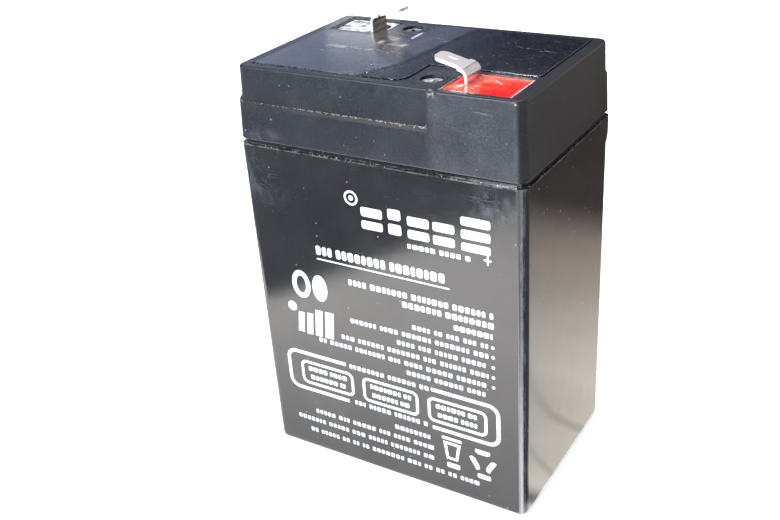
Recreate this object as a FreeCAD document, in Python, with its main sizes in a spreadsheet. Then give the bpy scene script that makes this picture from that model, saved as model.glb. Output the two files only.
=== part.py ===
import FreeCAD, Part
import math
import os

import Sketcher

# Small valve-regulated lead-acid battery, three cells, 6 V.
# Millimetres. +Z up, X along the long side, origin at the centre of the base.
# The front (-Y) face is the long face, the positive terminal stands at the
# front right (+X, -Y), the negative one at the back left.

V = FreeCAD.Vector
doc = FreeCAD.newDocument("battery")
sheet = doc.addObject("Spreadsheet::Sheet", "Sizes")

CELLS = [
    # container
    ("case_length", 70.0), ("front_depth", 23.5), ("back_depth", 22.9),
    ("case_corner", 2.0), ("base_round", 1.5), ("floor_thick", 2.5),
    ("rim_height", 82.7), ("tongue_height", 86.3), ("tongue_half_x", 34.1),
    ("tongue_half_y", 22.6), ("cell_width", 20.733), ("cell_half_y", 20.6),
    ("partition", 1.5), ("cell_corner", 0.8), ("collar_depth", 23.5),
    ("collar_low", 76.8), ("collar_high", 78.4), ("collar_corner", 1.4),
    ("weld_radius", 3.0), ("weld_height", 80.4),
    # lid
    ("lid_half_x", 35.0), ("lid_half_y", 23.5), ("lid_corner", 2.2),
    ("lid_low", 83.8), ("deck_height", 100.3), ("lid_draft", 0.6),
    ("step_x", 13.5), ("ledge_in_y", 22.2), ("ledge_in_z", 92.35),
    ("panel_top_y", 21.9), ("ledge_out_y", 26.0), ("ledge_out_z", 89.6),
    ("skirt_half_x", 34.2), ("skirt_half_y", 22.7), ("inner_skirt_low", 84.5),
    ("groove_top", 87.0), ("skirt_clear", 0.1), ("inner_skirt", 1.0),
    ("ceiling", 92.0), ("pit_floor", 94.0),
    # vent cover plate and its seat
    ("plate_half_x", 31.4), ("plate_half_y", 19.5), ("notch_x", 6.5),
    ("notch_y", 8.0), ("plate_gap", 0.35), ("plate_turn", 3.0),
    ("plate_corner", 0.8), ("seat_height", 98.9), ("plate_top", 100.5),
    ("seat_width", 2.0), ("neck_radius", 3.0), ("neck_top", 96.8),
    ("neck_bore", 1.2), ("cell_pitch", 22.233),
    ("ring_outer", 3.0), ("ring_inner", 2.0), ("ring_low", 98.05),
    # rubber valve cap
    ("cap_radius", 4.1), ("cap_inner", 3.05), ("cap_low", 94.7), ("cap_top", 97.8),
    # terminal wells and round recesses
    ("well_left", 16.1), ("well_right", 31.0), ("well_front", 21.3),
    ("well_back", 9.95), ("well_corner", 0.5), ("resin_top", 99.85),
    ("post_hole", 2.3), ("dimple_x", 11.3), ("dimple_y", 16.0),
    ("dimple_radius", 2.5), ("dimple_depth", 0.65), ("nub_radius", 0.45),
    ("nub_rise", 0.35), ("core_left", 8.8), ("core_right", 13.5),
    ("core_front", 18.7), ("core_back", 10.5), ("core_top", 97.2),
    # terminal tab
    ("tab_y", 13.6), ("tab_width", 6.3), ("tab_thick", 0.7), ("tab_face_x", 19.65),
    ("foot_low", 95.5), ("foot_end", 26.2), ("foot_bend", 0.8),
    ("bend_radius", 2.0), ("bend_start", 101.3), ("blade_angle", 14.3),
    ("tip_x", 11.55), ("blade_width", 4.8), ("shoulder_x", 17.4),
    ("tip_round", 1.9), ("foot_hole", 2.05), ("negative_lift", 1.1),
    # lead posts and straps
    ("post_x", 22.9), ("post_radius", 2.0), ("post_top", 97.0),
    ("strap_low", 77.5), ("strap_top", 81.0), ("strap_half_y", 3.2),
    ("lug_half", 2.5), ("lug_top", 80.0), ("lug_half_thick", 0.7),
    ("upright", 1.6), ("upright_half_y", 4.0), ("upright_top", 84.0),
    ("upright_clear", 0.1), ("plug_radius", 2.9),
    ("bar_three", 7.9), ("bar_four", 10.1),
    # plates and glass mats
    ("plate_pitch", 6.2), ("positive_thick", 2.56), ("negative_thick", 1.86),
    ("electrode_half_y", 20.2), ("electrode_top", 74.0), ("positive_low", 3.7),
    ("negative_low", 2.55), ("mat_inner", 1.3), ("mat_thick", 0.82),
    ("mat_low", 2.55), ("mat_top", 75.6), ("mat_half_y", 20.4),
    # rubber ring round each post
    ("ring_bore", 2.02), ("ring_section", 1.15),
]


class Q:
    """A length with its number and the sheet expression that gives it."""

    def __init__(self, v, t):
        self.v = float(v)
        self.t = t

    def __add__(self, o):
        o = q(o)
        return Q(self.v + o.v, "(%s + %s)" % (self.t, o.t))

    __radd__ = __add__

    def __sub__(self, o):
        o = q(o)
        return Q(self.v - o.v, "(%s - %s)" % (self.t, o.t))

    def __rsub__(self, o):
        return q(o) - self

    def __mul__(self, o):
        o = q(o)
        return Q(self.v * o.v, "(%s * %s)" % (self.t, o.t))

    __rmul__ = __mul__

    def __truediv__(self, o):
        o = q(o)
        return Q(self.v / o.v, "(%s / %s)" % (self.t, o.t))

    def __neg__(self):
        return Q(-self.v, "(0 - %s)" % self.t)


def q(x):
    return x if isinstance(x, Q) else Q(x, "%.6f" % x)


S = {}
for row, (alias, value) in enumerate(CELLS, start=1):
    sheet.set("A%d" % row, alias)
    sheet.set("B%d" % row, "%g" % value)
    sheet.setAlias("B%d" % row, alias)
    S[alias] = Q(value, "Sizes.%s" % alias)
doc.recompute()


def tan_deg(a):
    return Q(math.tan(math.radians(a.v)), "tan(%s * 1 deg)" % a.t)


def sin_deg(a):
    return Q(math.sin(math.radians(a.v)), "sin(%s * 1 deg)" % a.t)


def cos_deg(a):
    return Q(math.cos(math.radians(a.v)), "cos(%s * 1 deg)" % a.t)


# ---------------------------------------------------------------- helpers

def new_body(label):
    b = doc.addObject("PartDesign::Body", label)
    b.Label = label
    b.Placement = FreeCAD.Placement()
    return b


def sketch(body, name, role="XY_Plane", offset=None):
    s = body.newObject("Sketcher::SketchObject", name)
    plane = [f for f in body.Origin.OriginFeatures if f.Role == role][0]
    s.AttachmentSupport = [(plane, "")]
    s.MapMode = "FlatFace"
    if offset is not None:
        offset = q(offset)
        s.AttachmentOffset = FreeCAD.Placement(V(0, 0, offset.v), FreeCAD.Rotation())
        s.setExpression("AttachmentOffset.Base.z", offset.t)
    return s


def pin_x(s, geo, pos, x):
    if abs(x.v) < 1e-9:
        s.addConstraint(Sketcher.Constraint("PointOnObject", geo, pos, -2))
    else:
        i = s.addConstraint(Sketcher.Constraint("DistanceX", -1, 1, geo, pos, x.v))
        s.setExpression("Constraints[%d]" % i, x.t)


def pin_y(s, geo, pos, y):
    if abs(y.v) < 1e-9:
        s.addConstraint(Sketcher.Constraint("PointOnObject", geo, pos, -1))
    else:
        i = s.addConstraint(Sketcher.Constraint("DistanceY", -1, 1, geo, pos, y.v))
        s.setExpression("Constraints[%d]" % i, y.t)


def outline(s, pts, radii=None):
    """Closed outline, counter-clockwise, square corners rounded where a radius is given.
    A rounded corner needs both of its sides along the sketch axes."""
    pts = [(q(a), q(b)) for a, b in pts]
    n = len(pts)
    radii = [q(r) for r in (radii or [0] * n)]
    ends = []
    arcs = []
    for i in range(n):
        p = V(pts[i][0].v, pts[i][1].v, 0)
        a = V(pts[i - 1][0].v, pts[i - 1][1].v, 0)
        b = V(pts[(i + 1) % n][0].v, pts[(i + 1) % n][1].v, 0)
        din = (p - a).normalize()
        dout = (b - p).normalize()
        r = radii[i].v
        if r < 1e-9:
            ends.append((p, p))
            arcs.append(None)
            continue
        sx = -1 if (din.x > 0.5 or dout.x < -0.5) else 1
        sy = -1 if (din.y > 0.5 or dout.y < -0.5) else 1
        cx = pts[i][0] + radii[i] * sx
        cy = pts[i][1] + radii[i] * sy
        c = V(cx.v, cy.v, 0)
        t_in = p - din * r
        t_out = p + dout * r
        left = din.x * dout.y - din.y * dout.x > 0
        first, last = (t_in, t_out) if left else (t_out, t_in)
        a0 = math.atan2(first.y - c.y, first.x - c.x)
        a1 = math.atan2(last.y - c.y, last.x - c.x)
        while a1 <= a0:
            a1 += 2 * math.pi
        ends.append((t_in, t_out))
        arcs.append((Part.ArcOfCircle(Part.Circle(c, V(0, 0, 1), r), a0, a1), cx, cy, left))
    lines = []
    for i in range(n):
        lines.append(s.addGeometry(Part.LineSegment(ends[i][1], ends[(i + 1) % n][0]), False))
    for i in range(n):
        inc, out = lines[i - 1], lines[i]
        if arcs[i] is None:
            s.addConstraint(Sketcher.Constraint("Coincident", inc, 2, out, 1))
            pin_x(s, out, 1, pts[i][0])
            pin_y(s, out, 1, pts[i][1])
        else:
            geo, cx, cy, left = arcs[i]
            g = s.addGeometry(geo, False)
            s.addConstraint(Sketcher.Constraint("Tangent", inc, 2, g, 1 if left else 2))
            s.addConstraint(Sketcher.Constraint("Tangent", out, 1, g, 2 if left else 1))
            pin_x(s, g, 3, cx)
            pin_y(s, g, 3, cy)
            k = s.addConstraint(Sketcher.Constraint("Radius", g, radii[i].v))
            s.setExpression("Constraints[%d]" % k, radii[i].t)


def rect(s, x0, x1, y0, y1, r=0):
    outline(s, [(x0, y0), (x1, y0), (x1, y1), (x0, y1)], [r] * 4)


def circle(s, x, y, r):
    x, y, r = q(x), q(y), q(r)
    g = s.addGeometry(Part.Circle(V(x.v, y.v, 0), V(0, 0, 1), r.v), False)
    pin_x(s, g, 3, x)
    pin_y(s, g, 3, y)
    k = s.addConstraint(Sketcher.Constraint("Radius", g, r.v))
    s.setExpression("Constraints[%d]" % k, r.t)


def pad(body, s, length, name, reverse=False, middle=False):
    before = body.Shape.Volume if body.Tip else 0.0
    length = q(length)
    f = body.newObject("PartDesign::Pad", name)
    f.Profile = s
    f.Length = length.v
    f.setExpression("Length", length.t)
    f.Reversed = reverse
    if middle:
        f.SideType = "Symmetric"
    body.Tip = f
    doc.recompute()
    if not body.Shape.isValid() or body.Shape.Volume <= before + 1e-6:
        raise RuntimeError("pad adds nothing: %s %s" % (body.Label, name))
    return f


def pocket(body, s, length, name, reverse=False, middle=False):
    before = body.Shape.Volume
    length = q(length)
    f = body.newObject("PartDesign::Pocket", name)
    f.Profile = s
    f.Length = length.v
    f.setExpression("Length", length.t)
    f.Reversed = reverse
    if middle:
        f.SideType = "Symmetric"
    body.Tip = f
    doc.recompute()
    if not body.Shape.isValid() or body.Shape.Volume >= before - 1e-6:
        raise RuntimeError("pocket cuts nothing: %s %s" % (body.Label, name))
    return f


def loft(body, s1, s2, name, cut=False):
    before = body.Shape.Volume if body.Tip else 0.0
    f = body.newObject("PartDesign::SubtractiveLoft" if cut else "PartDesign::AdditiveLoft", name)
    f.Profile = s1
    f.Sections = [s2]
    f.Ruled = True
    body.Tip = f
    doc.recompute()
    gain = body.Shape.Volume - before
    if not body.Shape.isValid() or (gain > -1e-6 if cut else gain <= 1e-6):
        raise RuntimeError("loft changes nothing: %s %s" % (body.Label, name))
    return f


def edges_where(body, test):
    out = []
    for i, e in enumerate(body.Tip.Shape.Edges, start=1):
        pts = [e.valueAt(e.FirstParameter + (e.LastParameter - e.FirstParameter) * k)
               for k in (0.02, 0.5, 0.98)]
        if test(pts, e):
            out.append("Edge%d" % i)
    return out


def fillet(body, test, radius, name):
    names = edges_where(body, test)
    if not names:
        raise RuntimeError("no edges for %s %s" % (body.Label, name))
    base = body.Tip
    radius = q(radius)
    f = body.newObject("PartDesign::Fillet", name)
    f.Base = (base, names)
    f.Radius = radius.v
    f.setExpression("Radius", radius.t)
    body.Tip = f
    doc.recompute()
    if "Invalid" in f.State or f.Shape.isNull() or not f.Shape.isValid():
        raise RuntimeError("fillet fails: %s %s %s" % (body.Label, name, names))
    return f


def place(body, x=0, y=0, z=0, turn=0.0):
    x, y, z = q(x), q(y), q(z)
    body.Placement = FreeCAD.Placement(V(x.v, y.v, z.v), FreeCAD.Rotation(V(0, 0, 1), turn))
    body.setExpression("Placement.Base.x", x.t)
    body.setExpression("Placement.Base.y", y.t)
    body.setExpression("Placement.Base.z", z.t)


PARTS = []


def keep(obj):
    PARTS.append(obj)
    return obj


def near(a, b, tol=0.02):
    return abs(a - b) < tol


# ---------------------------------------------------------------- container
# One moulding: outer walls with a raised collar behind, floor, two partitions,
# and a tongue along the rim that goes up into the lid.

half = S["case_length"] / 2
cell_x = [-S["cell_pitch"], q(0), S["cell_pitch"]]
wall_x = [-(S["cell_width"] + S["partition"]) / 2, (S["cell_width"] + S["partition"]) / 2]

b = new_body("container")
s = sketch(b, "case_outline")
rect(s, -half, half, -S["front_depth"], S["back_depth"], S["case_corner"])
pad(b, s, S["rim_height"], "case_walls")
fillet(b, lambda p, e: all(near(k.z, 0) for k in p), S["base_round"], "base_rounding")
s1 = sketch(b, "collar_foot", offset=S["collar_low"])
rect(s1, -half, half, q(5), S["back_depth"], S["collar_corner"])
s2 = sketch(b, "collar_line", offset=S["collar_high"])
rect(s2, -half, half, q(5), S["collar_depth"], S["collar_corner"])
loft(b, s1, s2, "collar_slope")
s = sketch(b, "collar_outline", offset=S["collar_high"])
rect(s, -half, half, q(5), S["collar_depth"], S["collar_corner"])
pad(b, s, S["rim_height"] - S["collar_high"], "collar")
s = sketch(b, "tongue_outline", offset=S["rim_height"])
rect(s, -S["tongue_half_x"], S["tongue_half_x"], -S["tongue_half_y"], S["tongue_half_y"], 1.3)
pad(b, s, S["tongue_height"] - S["rim_height"], "tongue")
s = sketch(b, "cells", offset=S["tongue_height"])
for cx in cell_x:
    rect(s, cx - S["cell_width"] / 2, cx + S["cell_width"] / 2,
         -S["cell_half_y"], S["cell_half_y"], S["cell_corner"])
pocket(b, s, S["tongue_height"] - S["floor_thick"], "cell_pockets")
# a round weld opening in each partition, front in the first, back in the second
s = sketch(b, "weld_opening_1", "YZ_Plane", wall_x[0])
circle(s, -S["tab_y"], S["weld_height"], S["weld_radius"])
pocket(b, s, S["partition"] * 2, "weld_hole_1", middle=True)
s = sketch(b, "weld_opening_2", "YZ_Plane", wall_x[1])
circle(s, S["tab_y"], S["weld_height"], S["weld_radius"])
pocket(b, s, S["partition"] * 2, "weld_hole_2", middle=True)
keep(b)

# ---------------------------------------------------------------- lid
# One moulding. Its sides are drafted. The front-left and the back-right part of
# the sides are let in above a sloping ledge, the rest stands proud.

b = new_body("lid")
hx, hy, dr = S["lid_half_x"], S["lid_half_y"], S["lid_draft"]
s1 = sketch(b, "skirt_outline", offset=S["lid_low"])
sharp_pair = [0, S["lid_corner"], 0, S["lid_corner"]]
outline(s1, [(-hx, -hy), (hx, -hy), (hx, hy), (-hx, hy)], sharp_pair)
s2 = sketch(b, "deck_outline", offset=S["deck_height"])
ix, iy = hx - dr, hy - dr
outline(s2, [(-ix, -iy), (ix, -iy), (ix, iy), (-ix, iy)], sharp_pair)
loft(b, s1, s2, "lid_block")
s = sketch(b, "front_panel", "YZ_Plane", S["step_x"])
outline(s, [(-S["ledge_in_y"], S["ledge_in_z"]), (-S["panel_top_y"], q(102)),
            (-S["ledge_out_y"], q(102)), (-S["ledge_out_y"], S["ledge_out_z"])])
pocket(b, s, 60, "front_panel_cut")
s = sketch(b, "back_panel", "YZ_Plane", -S["step_x"])
outline(s, [(S["ledge_in_y"], S["ledge_in_z"]), (S["ledge_out_y"], S["ledge_out_z"]),
            (S["ledge_out_y"], q(102)), (S["panel_top_y"], q(102))])
pocket(b, s, 60, "back_panel_cut", reverse=True)


def lid_step(p, e):
    # the upright corners at the let-in panels, above and below the ledge
    up = abs(p[2].z - p[0].z) > 5
    return up and all(abs(k.x) > 33.5 and abs(k.y) > 21.5 and k.x * k.y > 0 for k in p)


fillet(b, lambda p, e: lid_step(p, e) and p[1].z > 92, S["lid_corner"], "panel_corner_rounding")

# the corners below the ledges, rounded by a cut that follows the draft
for k, sg in ((1, -1), (2, 1)):
    cuts = []
    for label, z, X, Y in (("low", S["lid_low"], hx, hy), ("high", S["deck_height"], ix, iy)):
        s = sketch(b, "corner_%s_%d" % (label, k), offset=z)
        r, e, o = S["lid_corner"], q(0.3), q(1.5)
        outline(s, [(sg * (X - r - e), sg * Y), (sg * (X - r - e), sg * (Y + o)), (sg * (X + o), sg * (Y + o)),
                    (sg * (X + o), sg * (Y - r - e)), (sg * X, sg * (Y - r - e)), (sg * X, sg * Y)],
                [0, 0, 0, 0, 0, r])
        cuts.append(s)
    loft(b, cuts[0], cuts[1], "skirt_corner_cut_%d" % k, cut=True)


def step_edge(p, e):
    # the upright outer edge of each step
    return abs(p[2].z - p[0].z) > 5 and all(near(abs(k.x), S["step_x"].v) and abs(k.y) > 22.6 for k in p)


fillet(b, step_edge, 0.3, "step_rounding")


def deck_rim(p, e):
    return all(near(k.z, S["deck_height"].v) for k in p) and \
        all(abs(k.x) > 33.0 or abs(k.y) > 21.3 for k in p)


fillet(b, deck_rim, 0.55, "deck_edge_rounding")


def skirt_foot(p, e):
    return all(near(k.z, S["lid_low"].v) for k in p)


fillet(b, skirt_foot, 0.35, "skirt_foot_rounding")

g = S["plate_gap"]


def s_outline(s, grow, turn, corner):
    """S-shaped outline of the vent cover: wide strip along X with one lobe towards the
    front left and one towards the back right."""
    X, Y = S["plate_half_x"] + grow, S["plate_half_y"] + grow
    nx, ny = S["notch_x"] + grow, S["notch_y"] + grow
    outline(s, [(-X, -Y), (nx, -Y), (nx, -ny), (X, -ny), (X, Y), (-nx, Y), (-nx, ny), (-X, ny)],
            [corner, turn, 0, corner, corner, turn, 0, corner])


s = sketch(b, "plate_seat", offset=S["deck_height"])
s_outline(s, g, S["plate_turn"], S["plate_corner"])
pocket(b, s, S["deck_height"] - S["seat_height"], "plate_seat_cut")
s = sketch(b, "vent_pit", offset=S["seat_height"])
s_outline(s, -S["seat_width"], q(1.0), q(1.0))
pocket(b, s, S["seat_height"] - S["pit_floor"], "vent_pit_cut")
s = sketch(b, "terminal_wells", offset=S["deck_height"])
rect(s, S["well_left"], S["well_right"], -S["well_front"], -S["well_back"], S["well_corner"])
rect(s, -S["well_right"], -S["well_left"], S["well_back"], S["well_front"], S["well_corner"])
pocket(b, s, S["deck_height"] - S["pit_floor"], "terminal_well_cut")
s = sketch(b, "round_recesses", offset=S["deck_height"])
circle(s, S["dimple_x"], -S["dimple_y"], S["dimple_radius"])
circle(s, -S["dimple_x"], S["dimple_y"], S["dimple_radius"])
pocket(b, s, S["dimple_depth"], "round_recess_cut")
s = sketch(b, "gate_nubs", offset=S["deck_height"] - S["dimple_depth"])
circle(s, S["dimple_x"], -S["dimple_y"], S["nub_radius"])
circle(s, -S["dimple_x"], S["dimple_y"], S["nub_radius"])
pad(b, s, S["nub_rise"], "gate_nub_pads")
s = sketch(b, "vent_necks", offset=S["pit_floor"])
for cx in cell_x:
    circle(s, cx, 0, S["neck_radius"])
pad(b, s, S["neck_top"] - S["pit_floor"], "vent_neck_pads")
# underside: outer skirt, groove for the tongue, one inner skirt a cell, head space
s = sketch(b, "skirt_inside", offset=S["lid_low"])
rect(s, -S["skirt_half_x"], S["skirt_half_x"], -S["skirt_half_y"], S["skirt_half_y"], 1.4)
pocket(b, s, S["inner_skirt_low"] - S["lid_low"], "skirt_inside_cut", reverse=True)
s = sketch(b, "tongue_groove", offset=S["inner_skirt_low"])
rect(s, -S["skirt_half_x"], S["skirt_half_x"], -S["skirt_half_y"], S["skirt_half_y"], 1.4)
for cx in cell_x:
    w = S["cell_width"] / 2 - S["skirt_clear"]
    rect(s, cx - w, cx + w, -(S["cell_half_y"] - S["skirt_clear"]), S["cell_half_y"] - S["skirt_clear"], 0.7)
pocket(b, s, S["groove_top"] - S["inner_skirt_low"], "tongue_groove_cut", reverse=True)
s = sketch(b, "head_space", offset=S["inner_skirt_low"])
for cx in cell_x:
    w = S["cell_width"] / 2 - S["skirt_clear"] - S["inner_skirt"]
    hh = S["cell_half_y"] - S["skirt_clear"] - S["inner_skirt"]
    rect(s, cx - w, cx + w, -hh, hh, 0.5)
pocket(b, s, S["ceiling"] - S["inner_skirt_low"], "head_space_cut", reverse=True)
s = sketch(b, "vent_bores", offset=S["neck_top"])
for cx in cell_x:
    circle(s, cx, 0, S["neck_bore"])
pocket(b, s, S["neck_top"] - S["ceiling"] + 0.5, "vent_bore_cut")
s = sketch(b, "post_holes", offset=S["pit_floor"])
circle(s, S["post_x"], -S["tab_y"], S["post_hole"])
circle(s, -S["post_x"], S["tab_y"], S["post_hole"])
pocket(b, s, S["pit_floor"] - S["ceiling"] + 0.5, "post_hole_cut")
s = sketch(b, "cored_pockets", offset=S["ceiling"])
rect(s, S["core_left"], S["core_right"], -S["core_front"], -S["core_back"], 0.5)
rect(s, -S["core_right"], -S["core_left"], S["core_back"], S["core_front"], 0.5)
pocket(b, s, S["core_top"] - S["ceiling"], "cored_pocket_cut", reverse=True)
# a knock has pushed in the top corner of the front step
nick = b.newObject("PartDesign::SubtractiveSphere", "corner_knock")
nick.Radius = 3.0
nick.AttachmentSupport = [([f for f in b.Origin.OriginFeatures if f.Role == "XY_Plane"][0], "")]
nick.MapMode = "FlatFace"
nick.AttachmentOffset = FreeCAD.Placement(V(14.6, -25.0, 101.6), FreeCAD.Rotation())
nick.setExpression("AttachmentOffset.Base.x", "Sizes.step_x + 1.1")
nick.setExpression("AttachmentOffset.Base.y", "-Sizes.lid_half_y - 1.5")
nick.setExpression("AttachmentOffset.Base.z", "Sizes.deck_height + 1.3")
b.Tip = nick
doc.recompute()
keep(b)

# ---------------------------------------------------------------- vent cover plate
b = new_body("vent_cover_plate")
s = sketch(b, "cover_outline", offset=S["seat_height"])
s_outline(s, q(0), S["plate_turn"], S["plate_corner"])
pad(b, s, S["plate_top"] - S["seat_height"], "cover")
fillet(b, lambda p, e: all(near(k.z, S["plate_top"].v) for k in p), 0.22, "cover_edge_rounding")
s = sketch(b, "hold_down_rings", offset=S["seat_height"])
for cx in cell_x:
    circle(s, cx, 0, S["ring_outer"])
    circle(s, cx, 0, S["ring_inner"])
pad(b, s, S["seat_height"] - S["ring_low"], "hold_down_ring_pads", reverse=True)
keep(b)

# ---------------------------------------------------------------- valve caps
for i, cx in enumerate(cell_x, start=1):
    b = new_body("valve_cap_%d" % i)
    s = sketch(b, "cap_section", "XZ_Plane")
    outline(s, [(q(0), S["neck_top"]), (S["cap_inner"], S["neck_top"]), (S["cap_inner"], S["cap_low"]),
                (S["cap_radius"], S["cap_low"]), (S["cap_radius"], S["cap_top"]), (q(0), S["cap_top"])])
    f = b.newObject("PartDesign::Revolution", "cap_turned")
    f.Profile = s
    f.ReferenceAxis = (s, ["V_Axis"])
    f.Angle = 360
    b.Tip = f
    doc.recompute()
    fillet(b, lambda p, e: all(near(k.z, S["cap_top"].v) for k in p)
           and near(math.hypot(p[1].x, p[1].y), S["cap_radius"].v), 0.4, "cap_rounding")
    place(b, x=cx)
    keep(b)


# ---------------------------------------------------------------- terminal tabs
# Bent strip: a foot under the resin with a hole for the post, an upright, a wide
# bend and a rising push-on blade with a narrower width and a chamfered tip.

def make_tab(label, turn):
    b = new_body(label)
    t = S["tab_thick"]
    xo = S["tab_face_x"]
    xi = xo - t
    R = S["bend_radius"]
    ri = R - t
    a = S["blade_angle"]
    # centre of the big bend, a little higher on the negative tab
    bx, bz = xo - R, S["bend_start"] + S["negative_lift"] if turn else S["bend_start"]
    # end of the outer bend and the blade's upper line
    ox, oz = bx + R * sin_deg(a), bz + R * cos_deg(a)
    ix, iz = bx + ri * sin_deg(a), bz + ri * cos_deg(a)
    tip_top = oz + (ox - S["tip_x"]) * tan_deg(a)
    tlx = S["tip_x"] - t * sin_deg(a)
    tip_low = tip_top - t * cos_deg(a)
    fb = S["foot_bend"]
    fl, ft = S["foot_low"], S["foot_low"] + t
    s = sketch(b, "strip_section", "XZ_Plane")
    P = lambda x, z: V(q(x).v, q(z).v, 0)

    def line(p0, p1):
        return s.addGeometry(Part.LineSegment(P(*p0), P(*p1)), False)

    def arc(cx, cz, r, a0, a1):
        return s.addGeometry(Part.ArcOfCircle(Part.Circle(P(cx, cz), V(0, 0, 1), q(r).v),
                                              math.radians(a0), math.radians(a1)), False)

    corners = {
        "foot_end_low": (S["foot_end"], fl), "foot_end_top": (S["foot_end"], ft),
        "up_in": (xo + fb, ft), "up_out": (xi + fb + t, fl),
        "tip_top": (S["tip_x"], tip_top), "tip_low": (tlx, tip_low),
    }
    # outside of the foot bend has its centre at (xo + fb, ft + fb)
    ccx, ccz = xo + fb, ft + fb
    l1 = line((ccx, fl), corners["foot_end_low"])
    l2 = line(corners["foot_end_low"], corners["foot_end_top"])
    l3 = line(corners["foot_end_top"], (ccx, ft))
    a1 = arc(ccx, ccz, fb, 180, 270)
    l4 = line((xo, ccz), (xo, bz))
    a2 = arc(bx, bz, R, 0, 90.0 - a.v)
    l5 = line((ox, oz), corners["tip_top"])
    l6 = line(corners["tip_top"], corners["tip_low"])
    l7 = line(corners["tip_low"], (ix, iz))
    a3 = arc(bx, bz, ri, 0, 90.0 - a.v)
    l8 = line((xi, bz), (xi, ccz))
    a4 = arc(ccx, ccz, fb + t, 180, 270)
    C = Sketcher.Constraint
    for c in (C("Coincident", l1, 2, l2, 1), C("Coincident", l2, 2, l3, 1),
              C("Tangent", l3, 2, a1, 2), C("Tangent", l4, 1, a1, 1),
              C("Tangent", l4, 2, a2, 1), C("Coincident", a2, 2, l5, 1),
              C("Coincident", l5, 2, l6, 1), C("Coincident", l6, 2, l7, 1),
              C("Coincident", l7, 2, a3, 2), C("Tangent", a3, 1, l8, 1),
              C("Tangent", l8, 2, a4, 1), C("Tangent", a4, 2, l1, 1)):
        s.addConstraint(c)
    pin_x(s, l2, 1, S["foot_end"])
    pin_y(s, l2, 1, fl)
    pin_x(s, l2, 2, S["foot_end"])
    pin_y(s, l2, 2, ft)
    for g_, cx_, cz_, r_ in ((a1, ccx, ccz, fb), (a4, ccx, ccz, fb + t), (a2, bx, bz, R), (a3, bx, bz, ri)):
        pin_x(s, g_, 3, cx_)
        pin_y(s, g_, 3, cz_)
        k = s.addConstraint(C("Radius", g_, r_.v))
        s.setExpression("Constraints[%d]" % k, r_.t)
    pin_x(s, l5, 1, ox)
    pin_x(s, l7, 2, ix)
    pin_x(s, l5, 2, S["tip_x"])
    pin_y(s, l5, 2, tip_top)
    pin_x(s, l6, 2, tlx)
    pin_y(s, l6, 2, tip_low)
    pad(b, s, S["tab_width"], "strip", middle=True)
    # narrow the blade and cut the tip's corners
    half_w, half_b = S["tab_width"] / 2, S["blade_width"] / 2
    s = sketch(b, "blade_trim", offset=q(108))
    end = S["tip_x"] - 0.17
    for sg in (-1, 1):
        r = S["tip_round"]
        bow = [(end + r, sg * half_b), (end + r * 0.62, sg * (half_b - r * 0.09)),
               (end + r * 0.29, sg * (half_b - r * 0.30)), (end + r * 0.08, sg * (half_b - r * 0.62)),
               (end, sg * (half_b - r * 0.98))]
        pts = [(S["shoulder_x"], sg * (half_w + 1)), (S["shoulder_x"], sg * half_b)] + bow + \
            [(S["tip_x"] - 2, sg * (half_b - r * 0.98)), (S["tip_x"] - 2, sg * (half_w + 1))]
        outline(s, list(reversed(pts)) if sg > 0 else pts)
    pocket(b, s, q(7), "blade_trim_cut")
    # eye for the post
    s = sketch(b, "post_eye", offset=S["foot_low"] + 2)
    circle(s, S["post_x"], 0, S["foot_hole"])
    pocket(b, s, q(3), "post_eye_cut")
    # long pressed mark in the middle of the blade
    s = sketch(b, "blade_mark", "XZ_Plane")
    m0, m1 = q(13.6), q(15.9)
    zt = lambda x: oz + (ox - x) * tan_deg(a)
    outline(s, [(m0, zt(m0) + 0.5), (m0 + 0.15, zt(m0) - 0.08), (m1 - 0.15, zt(m1) - 0.08), (m1, zt(m1) + 0.5)])
    pocket(b, s, q(1.1), "blade_mark_cut", middle=True)

    def blade_edges(p, e):
        return all(k.z > 101.0 for k in p) and e.Length > 1.2 and \
            all(near(abs(k.y), S["blade_width"].v / 2) or near(abs(k.y), S["tab_width"].v / 2) for k in p)

    fillet(b, blade_edges, 0.12, "strip_edge_rounding")
    if turn:
        place(b, y=S["tab_y"], turn=180.0)
    else:
        place(b, y=-S["tab_y"])
    return keep(b)


tab_pos = make_tab("positive_terminal_tab", False)
tab_neg = make_tab("negative_terminal_tab", True)

# ---------------------------------------------------------------- lead straps
# Cast lead. Each strap joins the lugs of one cell, with blind slots where the lugs
# are fused in. End straps carry a terminal post, the others meet through a partition.

pitch = S["plate_pitch"]


def lug_slots(b, name, centre, count):
    s = sketch(b, name, offset=S["strap_low"])
    for i in range(count):
        x = q(centre) + pitch * (i - (count - 1) / 2.0)
        rect(s, x - S["lug_half_thick"], x + S["lug_half_thick"], -S["lug_half"], S["lug_half"])
    pocket(b, s, S["lug_top"] - S["strap_low"], name + "_cut", reverse=True)


def end_strap(label, cx, half_bar, count, px, ysign):
    b = new_body(label)
    s = sketch(b, "bar_outline", offset=S["strap_low"])
    rect(s, cx - half_bar, cx + half_bar, -S["strap_half_y"], S["strap_half_y"], 0.6)
    pad(b, s, S["strap_top"] - S["strap_low"], "bar")
    s = sketch(b, "post_foot", offset=S["strap_top"])
    circle(s, px, 0, S["post_radius"] + 0.8)
    pad(b, s, q(1.2), "post_foot_pad")
    s = sketch(b, "post_outline", offset=S["strap_top"])
    circle(s, px, 0, S["post_radius"])
    pad(b, s, S["post_top"] - S["strap_top"], "post")
    lug_slots(b, "lug_slots", cx, count)
    place(b, y=S["tab_y"] * ysign)
    return keep(b)


strap_neg = end_strap("negative_end_strap", cell_x[0], S["bar_four"], 4, -S["post_x"], 1)
strap_pos = end_strap("positive_end_strap", cell_x[2], S["bar_three"], 3, S["post_x"], -1)


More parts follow.
